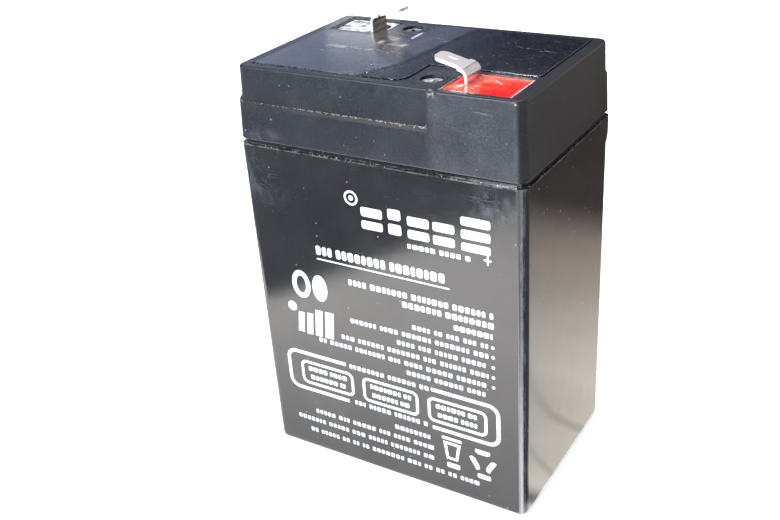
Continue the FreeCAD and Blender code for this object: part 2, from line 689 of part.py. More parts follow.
def link_strap(label, left_cell, ysign):
    """Positive bar of the left cell, negative bar of the right cell, fused through the
    partition between them. Drawn about the partition."""
    b = new_body(label)
    hp = S["partition"] / 2 + S["upright_clear"]
    to_cell = S["cell_pitch"] / 2
    s = sketch(b, "left_bar", offset=S["strap_low"])
    rect(s, -to_cell - S["bar_three"], -hp, -S["strap_half_y"], S["strap_half_y"])
    pad(b, s, S["strap_top"] - S["strap_low"], "left_bar_pad")
    s = sketch(b, "left_upright", offset=S["strap_low"])
    rect(s, -hp - S["upright"], -hp, -S["upright_half_y"], S["upright_half_y"])
    pad(b, s, S["upright_top"] - S["strap_low"], "left_upright_pad")
    s = sketch(b, "weld_plug", "YZ_Plane", -hp)
    circle(s, 0, S["weld_height"], S["plug_radius"])
    pad(b, s, hp * 2 + 0.2, "weld_plug_pad")
    s = sketch(b, "right_upright", offset=S["strap_low"])
    rect(s, hp, hp + S["upright"], -S["upright_half_y"], S["upright_half_y"])
    pad(b, s, S["upright_top"] - S["strap_low"], "right_upright_pad")
    s = sketch(b, "right_bar", offset=S["strap_low"])
    rect(s, hp, to_cell + S["bar_four"], -S["strap_half_y"], S["strap_half_y"])
    pad(b, s, S["strap_top"] - S["strap_low"], "right_bar_pad")
    lug_slots(b, "left_slots", -to_cell, 3)
    lug_slots(b, "right_slots", to_cell, 4)
    place(b, x=wall_x[left_cell], y=S["tab_y"] * ysign)
    return keep(b)


link_strap("intercell_strap_1_2", 0, -1)
link_strap("intercell_strap_2_3", 1, 1)

# ---------------------------------------------------------------- rubber rings round the posts
# Pressed flat against the well's floor and against the post.
for label, sign in (("positive_post_ring", 1), ("negative_post_ring", -1)):
    b = new_body(label)
    s = sketch(b, "ring_section", "XZ_Plane")
    rect(s, S["ring_bore"], S["ring_bore"] + S["ring_section"], S["pit_floor"],
         S["pit_floor"] + S["ring_section"], 0.4)
    f = b.newObject("PartDesign::Revolution", "ring_turned")
    f.Profile = s
    f.ReferenceAxis = (s, ["V_Axis"])
    f.Angle = 360
    b.Tip = f
    doc.recompute()
    place(b, x=S["post_x"] * sign, y=S["tab_y"] * -sign)
    keep(b)
ring_pos, ring_neg = PARTS[-2], PARTS[-1]

# ---------------------------------------------------------------- resin in the wells
# Poured round the tab, the post and the ring, so it is the well's inside less those.
for label, sign, tab, strap, ring in (("positive_resin_seal", 1, tab_pos, strap_pos, ring_pos),
                                      ("negative_resin_seal", -1, tab_neg, strap_neg, ring_neg)):
    block = new_body(label + "_block")
    s = sketch(block, "well_inside", offset=S["pit_floor"])
    if sign > 0:
        rect(s, S["well_left"], S["well_right"], -S["well_front"], -S["well_back"], S["well_corner"])
    else:
        rect(s, -S["well_right"], -S["well_left"], S["well_back"], S["well_front"], S["well_corner"])
    pad(block, s, S["resin_top"] - S["pit_floor"], "fill")
    solid = block
    for k, tool in enumerate((tab, strap, ring)):
        cut = doc.addObject("Part::Cut", "%s_cut_%d" % (label, k))
        cut.Base = solid
        cut.Tool = tool
        doc.recompute()
        solid = cut
    solid.Label = label
    keep(solid)

# ---------------------------------------------------------------- epoxy bead in the lid's groove
b = new_body("lid_joint_epoxy")
s = sketch(b, "bead_outline", offset=S["tongue_height"])
rect(s, -S["skirt_half_x"], S["skirt_half_x"], -S["skirt_half_y"], S["skirt_half_y"], 1.4)
for cx in cell_x:
    w = S["cell_width"] / 2 - S["skirt_clear"]
    rect(s, cx - w, cx + w, -(S["cell_half_y"] - S["skirt_clear"]), S["cell_half_y"] - S["skirt_clear"], 0.7)
pad(b, s, S["groove_top"] - S["tongue_height"], "bead")
keep(b)


# ---------------------------------------------------------------- plates and mats
def electrode(label, thick, low, x, lug_y):
    """Pasted lead grid with its lug, drawn in the YZ plane."""
    b = new_body(label)
    s = sketch(b, "grid_outline", "YZ_Plane")
    hy_ = S["electrode_half_y"]
    outline(s, [(-hy_, low + 1.2), (-hy_ + 3, low + 1.2), (-hy_ + 3.6, low), (-hy_ + 8, low),
                (-hy_ + 8.6, low + 1.2), (hy_ - 8.6, low + 1.2), (hy_ - 8, low), (hy_ - 3.6, low),
                (hy_ - 3, low + 1.2), (hy_, low + 1.2), (hy_, S["electrode_top"]), (-hy_, S["electrode_top"])])
    pad(b, s, thick, "pasted_grid", middle=True)
    s = sketch(b, "lug_outline", "YZ_Plane")
    y = S["tab_y"] * lug_y
    outline(s, [(y - S["lug_half"], S["electrode_top"] - 1), (y + S["lug_half"], S["electrode_top"] - 1),
                (y + S["lug_half"], S["lug_top"]), (y - S["lug_half"], S["lug_top"])])
    pad(b, s, S["lug_half_thick"] * 2, "lug", middle=True)
    place(b, x=x)
    return keep(b)


for c in range(3):
    cx = cell_x[c]
    # lugs: the first and last cell have their negative lugs behind, the middle one in front
    neg_side = -1 if c == 1 else 1
    for i in range(4):
        electrode("cell_%d_negative_plate_%d" % (c + 1, i + 1), S["negative_thick"], S["negative_low"],
                  cx + pitch * (i - 1.5), neg_side)
    for i in range(3):
        electrode("cell_%d_positive_plate_%d" % (c + 1, i + 1), S["positive_thick"], S["positive_low"],
                  cx + pitch * (i - 1), -neg_side)
    for i in range(3):
        b = new_body("cell_%d_separator_%d" % (c + 1, i + 1))
        s = sketch(b, "folded_mat", "XZ_Plane")
        mi, mo = S["mat_inner"], S["mat_inner"] + S["mat_thick"]
        outline(s, [(-mo, S["mat_low"]), (mo, S["mat_low"]), (mo, S["mat_top"]), (mi, S["mat_top"]),
                    (mi, S["mat_low"] + S["mat_thick"]), (-mi, S["mat_low"] + S["mat_thick"]),
                    (-mi, S["mat_top"]), (-mo, S["mat_top"])],
                [0.8, 0.8, 0, 0, 0, 0, 0, 0])
        pad(b, s, S["mat_half_y"] * 2, "mat", middle=True)
        place(b, x=cx + pitch * (i - 1))
        keep(b)

# ---------------------------------------------------------------- check and write
doc.recompute()
for o in doc.Objects:
    bad = [st for st in o.State if st in ("Invalid", "Error")]
    if bad:
        raise RuntimeError("object in error: %s %s" % (o.Label, o.State))
os.makedirs("parts", exist_ok=True)
for o in PARTS:
    sh = o.Shape
    if sh.isNull() or not sh.isValid() or len(sh.Solids) != 1:
        raise RuntimeError("bad shape: %s valid=%s solids=%d" % (o.Label, sh.isValid(), len(sh.Solids)))
for o in PARTS:
    o.Shape.exportStep("parts/%s.step" % o.Label)
    bb = o.Shape.BoundBox
    print("%-28s %10.2f mm3  x %.2f..%.2f y %.2f..%.2f z %.2f..%.2f" % (
        o.Label, o.Shape.Volume, bb.XMin, bb.XMax, bb.YMin, bb.YMax, bb.ZMin, bb.ZMax))
print(len(PARTS), "parts")
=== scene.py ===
import bmesh
import bpy
import math
import random

from mathutils import Matrix, Vector, noise


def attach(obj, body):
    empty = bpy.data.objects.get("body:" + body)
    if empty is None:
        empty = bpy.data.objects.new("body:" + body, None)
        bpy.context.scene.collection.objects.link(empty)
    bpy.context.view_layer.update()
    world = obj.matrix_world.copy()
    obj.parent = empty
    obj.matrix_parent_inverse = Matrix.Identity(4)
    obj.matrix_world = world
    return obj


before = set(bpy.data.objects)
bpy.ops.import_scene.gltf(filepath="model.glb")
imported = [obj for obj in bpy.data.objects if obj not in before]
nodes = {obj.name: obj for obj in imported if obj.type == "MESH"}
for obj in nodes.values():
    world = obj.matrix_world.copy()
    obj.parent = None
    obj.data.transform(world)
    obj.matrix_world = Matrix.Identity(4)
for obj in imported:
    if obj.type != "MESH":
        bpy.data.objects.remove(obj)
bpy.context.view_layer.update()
MM = 0.001

# ------------------------------------------------------------------ shader helpers


class Graph:
    """A few short calls for wiring a node material."""

    def __init__(self, name):
        self.mat = bpy.data.materials.new(name)
        self.mat.use_nodes = True
        self.tree = self.mat.node_tree
        self.tree.nodes.clear()
        self.out = self.tree.nodes.new("ShaderNodeOutputMaterial")
        self.shader = self.tree.nodes.new("ShaderNodeBsdfPrincipled")
        self.tree.links.new(self.shader.outputs[0], self.out.inputs[0])
        self.coord = self.tree.nodes.new("ShaderNodeTexCoord").outputs["Object"]
        sep = self.tree.nodes.new("ShaderNodeSeparateXYZ")
        self.tree.links.new(self.coord, sep.inputs[0])
        self.x, self.y, self.z = sep.outputs
        geo = self.tree.nodes.new("ShaderNodeNewGeometry")
        nsep = self.tree.nodes.new("ShaderNodeSeparateXYZ")
        self.tree.links.new(geo.outputs["Normal"], nsep.inputs[0])
        self.nx, self.ny, self.nz = nsep.outputs

    def put(self, socket, value):
        if isinstance(value, bpy.types.NodeSocket):
            self.tree.links.new(value, socket)
        elif isinstance(value, (tuple, list)) and len(value) == 3 and socket.type == "RGBA":
            socket.default_value = (*value, 1.0)
        else:
            socket.default_value = value

    def set(self, **values):
        for key, value in values.items():
            self.put(self.shader.inputs[key.replace("_", " ")], value)

    def math(self, op, a, b=0.0, c=None, clamp=False):
        n = self.tree.nodes.new("ShaderNodeMath")
        n.operation = op
        n.use_clamp = clamp
        self.put(n.inputs[0], a)
        self.put(n.inputs[1], b)
        if c is not None:
            self.put(n.inputs[2], c)
        return n.outputs[0]

    def mul(self, *values):
        r = values[0]
        for v in values[1:]:
            r = self.math("MULTIPLY", r, v)
        return r

    def add(self, *values):
        r = values[0]
        for v in values[1:]:
            r = self.math("ADD", r, v)
        return r

    def ramp(self, value, lo, hi, to_lo=0.0, to_hi=1.0, smooth=True):
        n = self.tree.nodes.new("ShaderNodeMapRange")
        n.interpolation_type = "SMOOTHSTEP" if smooth else "LINEAR"
        self.put(n.inputs["Value"], value)
        flip = lo > hi
        if flip:
            lo, hi, to_lo, to_hi = hi, lo, to_hi, to_lo
        n.inputs["From Min"].default_value = lo
        n.inputs["From Max"].default_value = hi
        n.inputs["To Min"].default_value = to_lo
        n.inputs["To Max"].default_value = to_hi
        return n.outputs["Result"]

    def mapped(self, scale=(1, 1, 1), turn=(0, 0, 0), shift=(0, 0, 0)):
        n = self.tree.nodes.new("ShaderNodeMapping")
        self.put(n.inputs["Vector"], self.coord)
        n.inputs["Scale"].default_value = scale
        n.inputs["Rotation"].default_value = [math.radians(a) for a in turn]
        n.inputs["Location"].default_value = shift
        return n.outputs[0]

    def noise(self, scale, detail=3.0, rough=0.55, vector=None, warp=0.0):
        n = self.tree.nodes.new("ShaderNodeTexNoise")
        self.put(n.inputs["Vector"], vector or self.coord)
        n.inputs["Scale"].default_value = scale
        n.inputs["Detail"].default_value = detail
        n.inputs["Roughness"].default_value = rough
        n.inputs["Distortion"].default_value = warp
        return n.outputs["Fac"]

    def specks(self, scale, size, share, vector=None, seed=0.0):
        """Small round dots, size as a share of the cell, on that share of the cells."""
        v = self.tree.nodes.new("ShaderNodeTexVoronoi")
        self.put(v.inputs["Vector"], vector or self.mapped(shift=(seed, seed * 0.7, seed * 1.3)))
        v.inputs["Scale"].default_value = scale
        v.inputs["Randomness"].default_value = 1.0
        dot = self.ramp(v.outputs["Distance"], size, size * 0.45)
        s = self.tree.nodes.new("ShaderNodeSeparateColor")
        self.put(s.inputs[0], v.outputs["Color"])
        pick = self.math("LESS_THAN", s.outputs[0], share)
        return self.mul(dot, pick, self.ramp(s.outputs[1], 0, 1, 0.35, 1.0))

    def streaks(self, turn, fine, long, lo, hi, shift=(0, 0, 0)):
        """Thin straight scratches: a noise squeezed along one direction."""
        v = self.mapped(scale=(long, fine, fine), turn=turn, shift=shift)
        n = self.noise(1.0, 1.0, 0.4, v)
        return self.ramp(n, lo, hi)

    def mix(self, fac, a, b):
        n = self.tree.nodes.new("ShaderNodeMix")
        n.data_type = "RGBA"
        self.put(n.inputs[0], fac)
        self.put(n.inputs[6], a)
        self.put(n.inputs[7], b)
        return n.outputs[2]

    def bump(self, height, strength, distance, normal=None):
        n = self.tree.nodes.new("ShaderNodeBump")
        n.inputs["Strength"].default_value = strength
        n.inputs["Distance"].default_value = distance
        self.put(n.inputs["Height"], height)
        if normal is not None:
            self.put(n.inputs["Normal"], normal)
        return n.outputs[0]

    def band(self, value, a, b, soft):
        """1 between a and b, falling to 0 over soft outside them."""
        return self.mul(self.ramp(value, a - soft, a), self.ramp(value, b + soft, b))

    def blob(self, cx, cy, cz, rx, ry, rz, hard=0.3):
        """1 inside an ellipsoid about a point, soft at its edge. Millimetres."""
        v = self.tree.nodes.new("ShaderNodeVectorMath")
        v.operation = "SUBTRACT"
        self.put(v.inputs[0], self.coord)
        v.inputs[1].default_value = (cx * MM, cy * MM, cz * MM)
        w = self.tree.nodes.new("ShaderNodeVectorMath")
        w.operation = "DIVIDE"
        self.put(w.inputs[0], v.outputs[0])
        w.inputs[1].default_value = (rx * MM, ry * MM, rz * MM)
        d = self.tree.nodes.new("ShaderNodeVectorMath")
        d.operation = "LENGTH"
        self.put(d.inputs[0], w.outputs[0])
        return self.ramp(d.outputs["Value"], 1.0, hard)

    def most(self, *values):
        r = values[0]
        for v in values[1:]:
            r = self.math("MAXIMUM", r, v)
        return r


def dress(obj, mat):
    obj.data.materials.clear()
    obj.data.materials.append(mat)


# ------------------------------------------------------------------ materials

DUST = (0.42, 0.385, 0.33)
HAZE = (0.20, 0.225, 0.27)


def case_plastic():
    """Glossy black moulding with handling marks, dust at the rim, scuffed corners and a painted highlight on the front
    right corner.
    """
    g = Graph("case_plastic")
    broad = g.noise(45, 2)
    mottled = g.noise(260, 4)
    fine = g.noise(2600, 2, 0.7)
    col = g.mix(g.ramp(broad, 0.35, 0.65), (0.0062, 0.0068, 0.0092), (0.0098, 0.0102, 0.0120))
    col = g.mix(g.ramp(mottled, 0.5, 0.8, 0, 0.30), col, (0.021, 0.021, 0.023))
    col = g.mix(g.ramp(fine, 0.50, 0.72, 0, 0.34), col, (0.034, 0.034, 0.037))
    # handling marks and scratches, thicker near the upper corners and the left edge
    wear_zone = g.most(g.blob(28, -23.5, 78, 10, 3, 7, 0.1), g.blob(-29.5, -23.5, 75, 9, 3, 9, 0.1),
                       g.mul(g.ramp(g.noise(70, 2), 0.55, 0.75), 0.45))
    scratch = g.most(g.streaks((0, 38, 0), 5200, 160, 0.70, 0.78),
                     g.streaks((0, -52, 0), 6400, 210, 0.72, 0.80, (3, 1, 2)),
                     g.streaks((0, 12, 0), 7200, 120, 0.73, 0.80, (7, 5, 3)))
    marks = g.mul(scratch, wear_zone)
    scuff = g.mul(g.ramp(g.noise(620, 5, 0.72), 0.50, 0.72), wear_zone)
    smudge = g.mul(wear_zone, g.ramp(g.noise(210, 4, 0.6, g.mapped(scale=(1.0, 1.0, 0.55), turn=(0, 25, 0))), 0.46, 0.66))
    haze = g.add(g.mul(marks, 0.20), g.mul(scuff, 0.10), g.mul(smudge, 0.13))
    col = g.mix(haze, col, HAZE)
    # the upright rounded corners are rubbed grey
    edge = g.mul(g.ramp(g.math("ABSOLUTE", g.x), 0.0334, 0.0341), g.ramp(g.y, -0.0222, -0.0228))
    rub = g.mul(edge, g.ramp(g.noise(1400, 4, 0.7, g.mapped(scale=(1, 1, 0.12))), 0.38, 0.66))
    col = g.mix(g.mul(rub, 0.22), col, (0.18, 0.185, 0.20))
    # the front right corner's crest is painted pale, stronger lower down: partly edge wear, partly a painted highlight
    # where the corner catches light
    crest_wear_and_highlight = g.most(g.band(g.nx, 0.43, 0.58, 0.15), g.mul(g.band(g.nx, 0.21, 0.45, 0.05), 0.5))
    crest_wear_and_highlight = g.mul(crest_wear_and_highlight, g.ramp(g.ny, -0.5, -0.8), g.ramp(g.x, 0.0300, 0.0315))
    crest_wear_and_highlight = g.mul(crest_wear_and_highlight, g.ramp(g.z, 0.062, 0.012, 0.26, 1.0), g.ramp(g.noise(900, 3, 0.6, g.mapped(scale=(1, 1, 0.10))), 0.2, 0.5, 0.7, 1.0))
    col = g.mix(g.mul(crest_wear_and_highlight, 0.84), col, (0.27, 0.265, 0.27))
    # a thin pale line along the rim, specks in the joint under it
    rim = g.band(g.z, 0.08245, 0.0828, 0.00012)
    rim = g.mul(rim, g.ramp(g.noise(420, 5, 0.7, g.mapped(scale=(1, 1, 0.6))), 0.36, 0.66), g.ramp(g.nz, 0.95, 0.7, 0.22, 1.0))
    joint = g.mul(g.ramp(g.z, 0.0826, 0.0829), g.ramp(g.noise(1700, 5, 0.8), 0.58, 0.72))
    fall = g.mul(g.ramp(g.z, 0.0795, 0.0828), g.ramp(g.noise(900, 4, 0.7), 0.60, 0.82), 0.4)
    spots = g.most(g.specks(430, 0.09, 0.20), g.specks(1000, 0.11, 0.14, seed=3.1))
    dirt = g.most(g.mul(rim, 0.24), g.mul(joint, 0.08), g.mul(fall, 0.4), g.mul(spots, 0.55))
    col = g.mix(dirt, col, (0.36, 0.35, 0.34))
    rough = g.add(0.095, g.mul(g.ramp(broad, 0.3, 0.7), 0.035), g.mul(haze, 0.35), g.mul(dirt, 0.5),
                  g.mul(rub, 0.24), g.mul(edge, 0.07))
    g.set(Base_Color=col, Roughness=rough, IOR=1.53)
    wave = g.noise(110, 2, 0.4)
    n = g.bump(wave, 0.07, 0.0006)
    n = g.bump(g.add(g.mul(fine, 0.3), g.mul(dirt, 1.2), g.mul(marks, -0.5)), 0.25, 0.00006, n)
    g.set(Normal=n)
    return g.mat


def lid_plastic():
    """The lid: same black moulding, finer satin skin, dust on ledges and on the deck."""
    g = Graph("lid_plastic")
    broad = g.noise(55, 3)
    fine = g.noise(2300, 3, 0.75)
    col = g.mix(g.ramp(broad, 0.35, 0.68), (0.0050, 0.0060, 0.0088), (0.0082, 0.0098, 0.0135))
    front = g.ramp(g.ny, -0.82, -0.975)
    side = g.ramp(g.math("ABSOLUTE", g.nx), 0.45, 0.85)
    up = g.ramp(g.nz, 0.55, 0.9)
    # thin pale bluish film on the front, thickest on the proud block: partly dust haze, partly a painted sheen on the
    # front faces
    cloud = g.noise(170, 5, 0.62)
    block = g.mul(g.ramp(g.x, 0.0125, 0.0155), g.add(0.55, g.mul(g.ramp(cloud, 0.3, 0.7), 0.75)))
    lower = g.mul(g.blob(-27, -23.4, 85.3, 8, 2, 2.2, 0.1), g.ramp(g.noise(420, 4, 0.6), 0.3, 0.7))
    dust_and_sheen_film = g.mul(front, g.add(0.010, g.mul(block, 0.18), g.mul(g.ramp(cloud, 0.45, 0.8), 0.08), g.mul(lower, 0.35)))
    dust_and_sheen_film = g.mul(dust_and_sheen_film, g.add(0.62, g.mul(g.ramp(fine, 0.35, 0.7), 0.75)))
    col = g.mix(g.mul(dust_and_sheen_film, 0.36), col, (0.205, 0.24, 0.30))
    # fine pale specks on the front, in the painted sheen's bluish colour
    grain = g.ramp(g.noise(3300, 2, 0.7), 0.44, 0.64)
    col = g.mix(g.mul(front, grain, 0.060), col, (0.205, 0.24, 0.30))
    # brownish tint on the side faces: a painted warm reflection
    side_warm_reflection = g.mul(side, g.add(0.002, g.mul(grain, 0.050)))
    col = g.mix(side_warm_reflection, col, (0.34, 0.29, 0.24))
    # dusty ledges, thin and broken, thicker towards the step
    ledge = g.mul(g.ramp(g.z, 0.09200, 0.09228), g.ramp(g.z, 0.0926, 0.0924), g.ramp(g.nz, 0.12, 0.3))
    thick = g.ramp(g.math("ABSOLUTE", g.math("SUBTRACT", g.x, 0.0135)), 0.040, 0.004, 0.25, 1.0)
    broken = g.ramp(g.noise(900, 5, 0.8), 0.47, 0.60)
    ledge = g.mul(ledge, broken, thick)
    foot = g.mul(g.ramp(g.z, 0.0842, 0.08385), g.ramp(g.noise(620, 5, 0.7), 0.42, 0.66))
    # deck: dusty grain round the wells, recesses and along the cover's joint
    grit = g.ramp(g.noise(1700, 5, 0.85), 0.50, 0.66)
    around = g.most(g.blob(13, -13.8, 100.3, 7.5, 7.5, 3, 0.35), g.blob(24, -8.9, 100.3, 11, 1.4, 3, 0.3),
                    g.blob(-13, 13.8, 100.3, 7.5, 7.5, 3, 0.35), g.blob(-24, 8.9, 100.3, 11, 1.4, 3, 0.3))
    deck = g.mul(up, g.ramp(g.z, 0.0990, 0.0994), g.add(g.mul(grit, g.add(0.06, g.mul(around, 0.62))), g.mul(around, 0.05)))
    bottom = g.mul(g.band(g.z, 0.0993, 0.09985, 0.0001), up, g.ramp(g.noise(1300, 5, 0.75), 0.40, 0.60))
    spots = g.most(g.specks(390, 0.09, 0.24, seed=1.7), g.specks(900, 0.12, 0.20, seed=5.3))
    strip = g.ramp(g.y, -0.0212, -0.0218, 1.0, 0.35)
    col = g.mix(g.mul(deck, 0.32, strip), col, (0.285, 0.29, 0.36))
    col = g.mix(g.mul(bottom, 0.75), col, (0.52, 0.53, 0.52))
    dirt = g.most(g.mul(ledge, 0.62), g.mul(foot, 0.10), g.mul(spots, 0.55))
    col = g.mix(dirt, col, DUST)
    dirt = g.most(dirt, g.mul(deck, 0.42), g.mul(bottom, 0.6))
    # knocked corner: a pale bruise round the dent
    bruise = g.mul(g.blob(15.0, -23, 99.3, 1.8, 1.6, 1.3, 0.2), g.ramp(g.noise(1100, 5, 0.75), 0.45, 0.62))
    col = g.mix(g.mul(bruise, 0.7), col, (0.24, 0.26, 0.32))
    # whitish dust on the lips of the near well: all along the right one, part of the others
    flaky = g.ramp(g.noise(800, 5, 0.75), 0.36, 0.56)
    lip_r = g.mul(g.band(g.x, 0.03095, 0.03125, 0.00008), g.band(g.y, -0.0212, -0.0102, 0.0003))
    lip_l = g.mul(g.band(g.x, 0.01582, 0.01610, 0.00008), g.band(g.y, -0.0212, -0.0130, 0.0010))
    lip_f = g.mul(g.band(g.y, -0.02160, -0.02130, 0.00008), g.band(g.x, 0.0192, 0.0228, 0.0012))
    lip_b = g.mul(g.band(g.y, -0.01000, -0.00955, 0.00012), g.band(g.x, 0.0215, 0.0300, 0.0010), 0.45)
    lips = g.mul(g.most(lip_r, g.mul(lip_l, 0.6), g.mul(lip_f, 0.9), lip_b), up, flaky)
    col = g.mix(g.mul(lips, 0.85), col, (0.62, 0.60, 0.62))
    nub = g.mul(g.blob(11.3, -16.0, 100.0, 0.62, 0.62, 1.0, 0.5), g.ramp(g.z, 0.1002, 0.1000))
    col = g.mix(g.mul(nub, 0.8), col, (0.62, 0.64, 0.64))
    # a pale spot on the front right top corner: a painted highlight
    corner_glint = g.mul(g.blob(32.8, -23.45, 99.65, 0.55, 0.8, 0.50, 0.35), g.ramp(g.noise(1600, 3, 0.7), 0.15, 0.35))
    col = g.mix(g.mul(corner_glint, 0.9), col, (0.85, 0.82, 0.82))
    # a painted highlight on the deck's edge beside the cover's far corner; a painted shadow of the near tab on the deck
    # behind it
    notch_edge_highlight = g.mul(g.band(g.x, -0.00765, -0.0070, 0.00015), g.band(g.y, 0.0082, 0.0118, 0.0028), up,
                   g.ramp(g.noise(700, 3, 0.6), 0.25, 0.5))
    col = g.mix(g.mul(notch_edge_highlight, 0.62), col, (0.66, 0.70, 0.78))
    # painted shadow of the near tab, near black
    col = g.mix(g.mul(g.blob(20.6, -8.8, 100.3, 2.6, 1.6, 1, 0.5), 0.8), col, (0.004, 0.004, 0.006))
    # the deck's rounded front edge is painted a little lighter: rub wear and a painted highlight
    rub = g.mul(g.band(g.z, 0.0998, 0.1002, 0.0001), front, g.ramp(g.noise(500, 4, 0.7), 0.3, 0.6))
    col = g.mix(g.mul(rub, 0.05), col, (0.26, 0.25, 0.29))
    scratch = g.mul(g.streaks((0, 64, 0), 6500, 260, 0.71, 0.79, (2, 2, 8)), g.ramp(g.noise(90, 2), 0.5, 0.7))
    col = g.mix(g.mul(scratch, 0.4), col, HAZE)
    rough = g.add(0.27, g.mul(g.ramp(broad, 0.3, 0.7), 0.05), g.mul(dirt, 0.45), g.mul(up, -0.06))
    dull = g.mul(g.band(g.z, 0.09975, 0.10022, 0.00008), g.ramp(g.ny, -0.12, -0.30),
                 g.ramp(g.x, 0.0330, 0.0318, 0.0, 1.0))
    dull = g.most(dull, g.mul(g.ramp(g.x, 0.0311, 0.0317), up, 0.55))
    g.set(Base_Color=col, Roughness=g.add(rough, g.mul(dull, 0.12)), IOR=1.53,
          Specular_IOR_Level=g.math("MULTIPLY_ADD", dull, -0.33, 0.5))
    n = g.bump(g.add(g.mul(fine, g.add(0.35, g.mul(up, 0.5))), g.mul(dirt, 0.9), g.mul(scratch, -0.4)), 0.4, 0.00008)
    g.set(Normal=n)
    return g.mat


def cover_plastic():
    """Vent cover: glossy, with a fine grain that glints, dust, smears and a few scratches, a painted sheen on the left
    part, a painted shade line and a painted shadow behind the near tab.
    """
    g = Graph("cover_plastic")
    broad = g.noise(60, 3)
    fine = g.noise(1500, 4, 0.85)
    col = g.mix(g.ramp(broad, 0.35, 0.68), (0.0040, 0.0045, 0.0072), (0.0068, 0.0076, 0.0115))
    # a painted sheen (a painted reflection) with a dusty grain on the left part, ending along a bent line a little
    # right of the middle, lighter just left of that line
    line = g.add(g.mul(g.ramp(g.y, -0.0235, -0.0100, 0.0074, 0.0016, smooth=False), -1.0),
                 g.ramp(g.y, -0.0100, 0.0200, 0.0014, 0.0055, smooth=False))
    side = g.math("SUBTRACT", line, g.x)
    cloud = g.noise(130, 5, 0.62)
    dust_and_sheen_film = g.mul(g.ramp(side, -0.0004, 0.0008), g.add(0.6, g.mul(g.ramp(cloud, 0.3, 0.7), 0.5)))
    painted_shade_line = g.band(side, -0.0013, -0.0002, 0.0005)
    beside = g.band(side, -0.0095, -0.0012, 0.0035)
    near_line = g.mul(g.band(side, 0.0006, 0.0050, 0.0030), g.add(0.5, g.mul(g.ramp(cloud, 0.35, 0.65), 0.6)))
    grit = g.ramp(fine, 0.46, 0.60)
    dusty_sheen_grain = g.mul(dust_and_sheen_film, g.add(0.015, g.mul(grit, 0.17), g.mul(near_line, 0.045)))
    col = g.mix(dusty_sheen_grain, col, (0.27, 0.30, 0.40))
    # painted shade: a dark line along the sheen's edge
    col = g.mix(g.mul(painted_shade_line, 0.6), col, (0.003, 0.003, 0.006))
    glint = g.ramp(g.noise(1350, 3, 0.9), 0.545, 0.63)
    col = g.mix(g.mul(glint, 0.09), col, (0.30, 0.31, 0.37))
    # pale smears in front of the back well: a broken band and a few dabs
    band = g.most(g.blob(-19.5, -2.7, 100.5, 5.0, 1.5, 3, 0.3), g.blob(-13.0, -2.7, 100.5, 4.6, 1.3, 3, 0.3))
    band = g.mul(band, g.ramp(g.noise(420, 4, 0.7), 0.38, 0.60))
    dabs = g.most(g.blob(-12.3, 3.0, 100.5, 1.6, 2.2, 3, 0.0), g.blob(-10.3, 6.0, 100.5, 1.7, 1.8, 3, 0.0),
                  g.blob(-6.1, 2.3, 100.5, 1.8, 2.2, 3, 0.0), g.blob(-8.6, 1.9, 100.5, 2.6, 1.2, 3, 0.0),
                  g.mul(g.blob(-6.8, -2.9, 100.5, 3.0, 1.9, 3, 0.0),
                        g.ramp(g.math("SINE", g.math("MULTIPLY", g.math("SUBTRACT", g.x, g.mul(g.y, 0.5)), 3900.0)), -0.2, 0.7)))
    dabs = g.mul(dabs, g.ramp(g.noise(560, 5, 0.8), 0.40, 0.60))
    edge = g.ramp(g.z, 0.10045, 0.1003)
    edge_dust = g.mul(edge, g.ramp(g.noise(900, 5, 0.8), 0.56, 0.70))
    spots = g.most(g.specks(360, 0.10, 0.30, seed=2.2), g.specks(850, 0.14, 0.30, seed=8.1))
    scratch = g.mul(g.most(g.streaks((0, 0, 8), 5200, 150, 0.70, 0.78, (1, 4, 2)),
                           g.streaks((0, 0, -20), 6100, 200, 0.72, 0.79, (9, 4, 1))),
                    g.ramp(g.noise(80, 2), 0.48, 0.66))
    # one long light scratch on the right part, broken along its length
    slope = g.add(g.y, g.mul(g.x, 0.184))
    long = g.mul(g.band(slope, 0.01278, 0.01296, 0.00012), g.band(g.x, 0.0178, 0.0310, 0.0010),
                 g.ramp(g.noise(330, 3, 0.7), 0.42, 0.60))
    right_dust = g.mul(g.ramp(g.x, 0.010, 0.018), g.ramp(g.y, -0.002, -0.010), g.ramp(g.noise(1100, 5, 0.8), 0.50, 0.68))
    dirt = g.most(g.mul(edge_dust, 0.5), g.mul(spots, 0.6), g.mul(right_dust, 0.16), g.mul(scratch, 0.24),
                  g.mul(long, 0.40))
    col = g.mix(dirt, col, (0.40, 0.40, 0.41))
    col = g.mix(g.mul(band, 0.60), col, (0.42, 0.37, 0.34))
    col = g.mix(g.mul(dabs, 0.62), col, (0.60, 0.50, 0.38))
    # painted shadow of the near tab on the plate behind it
    col = g.mix(g.mul(g.blob(19.6, -6.6, 100.5, 2.2, 2.6, 1, 0.4), 0.8), col, (0.003, 0.003, 0.005))
    dirt = g.most(dirt, band, dabs)
    rough = g.add(0.088, g.mul(dust_and_sheen_film, 0.02), g.mul(dirt, 0.4), g.mul(g.ramp(broad, 0.3, 0.7), 0.03), g.mul(grit, 0.06))
    # reflection lowered along the painted shade line and just right of it: painted shade
    g.set(Base_Color=col, Roughness=rough, IOR=1.53,
          Specular_IOR_Level=g.math("MULTIPLY_ADD", g.most(g.mul(painted_shade_line, 0.5), g.mul(beside, 0.28)), -0.7, 0.5))
    n = g.bump(g.add(g.mul(fine, 0.9), g.mul(dirt, 0.8)), 0.30, 0.00009)
    g.set(Normal=n)
    return g.mat


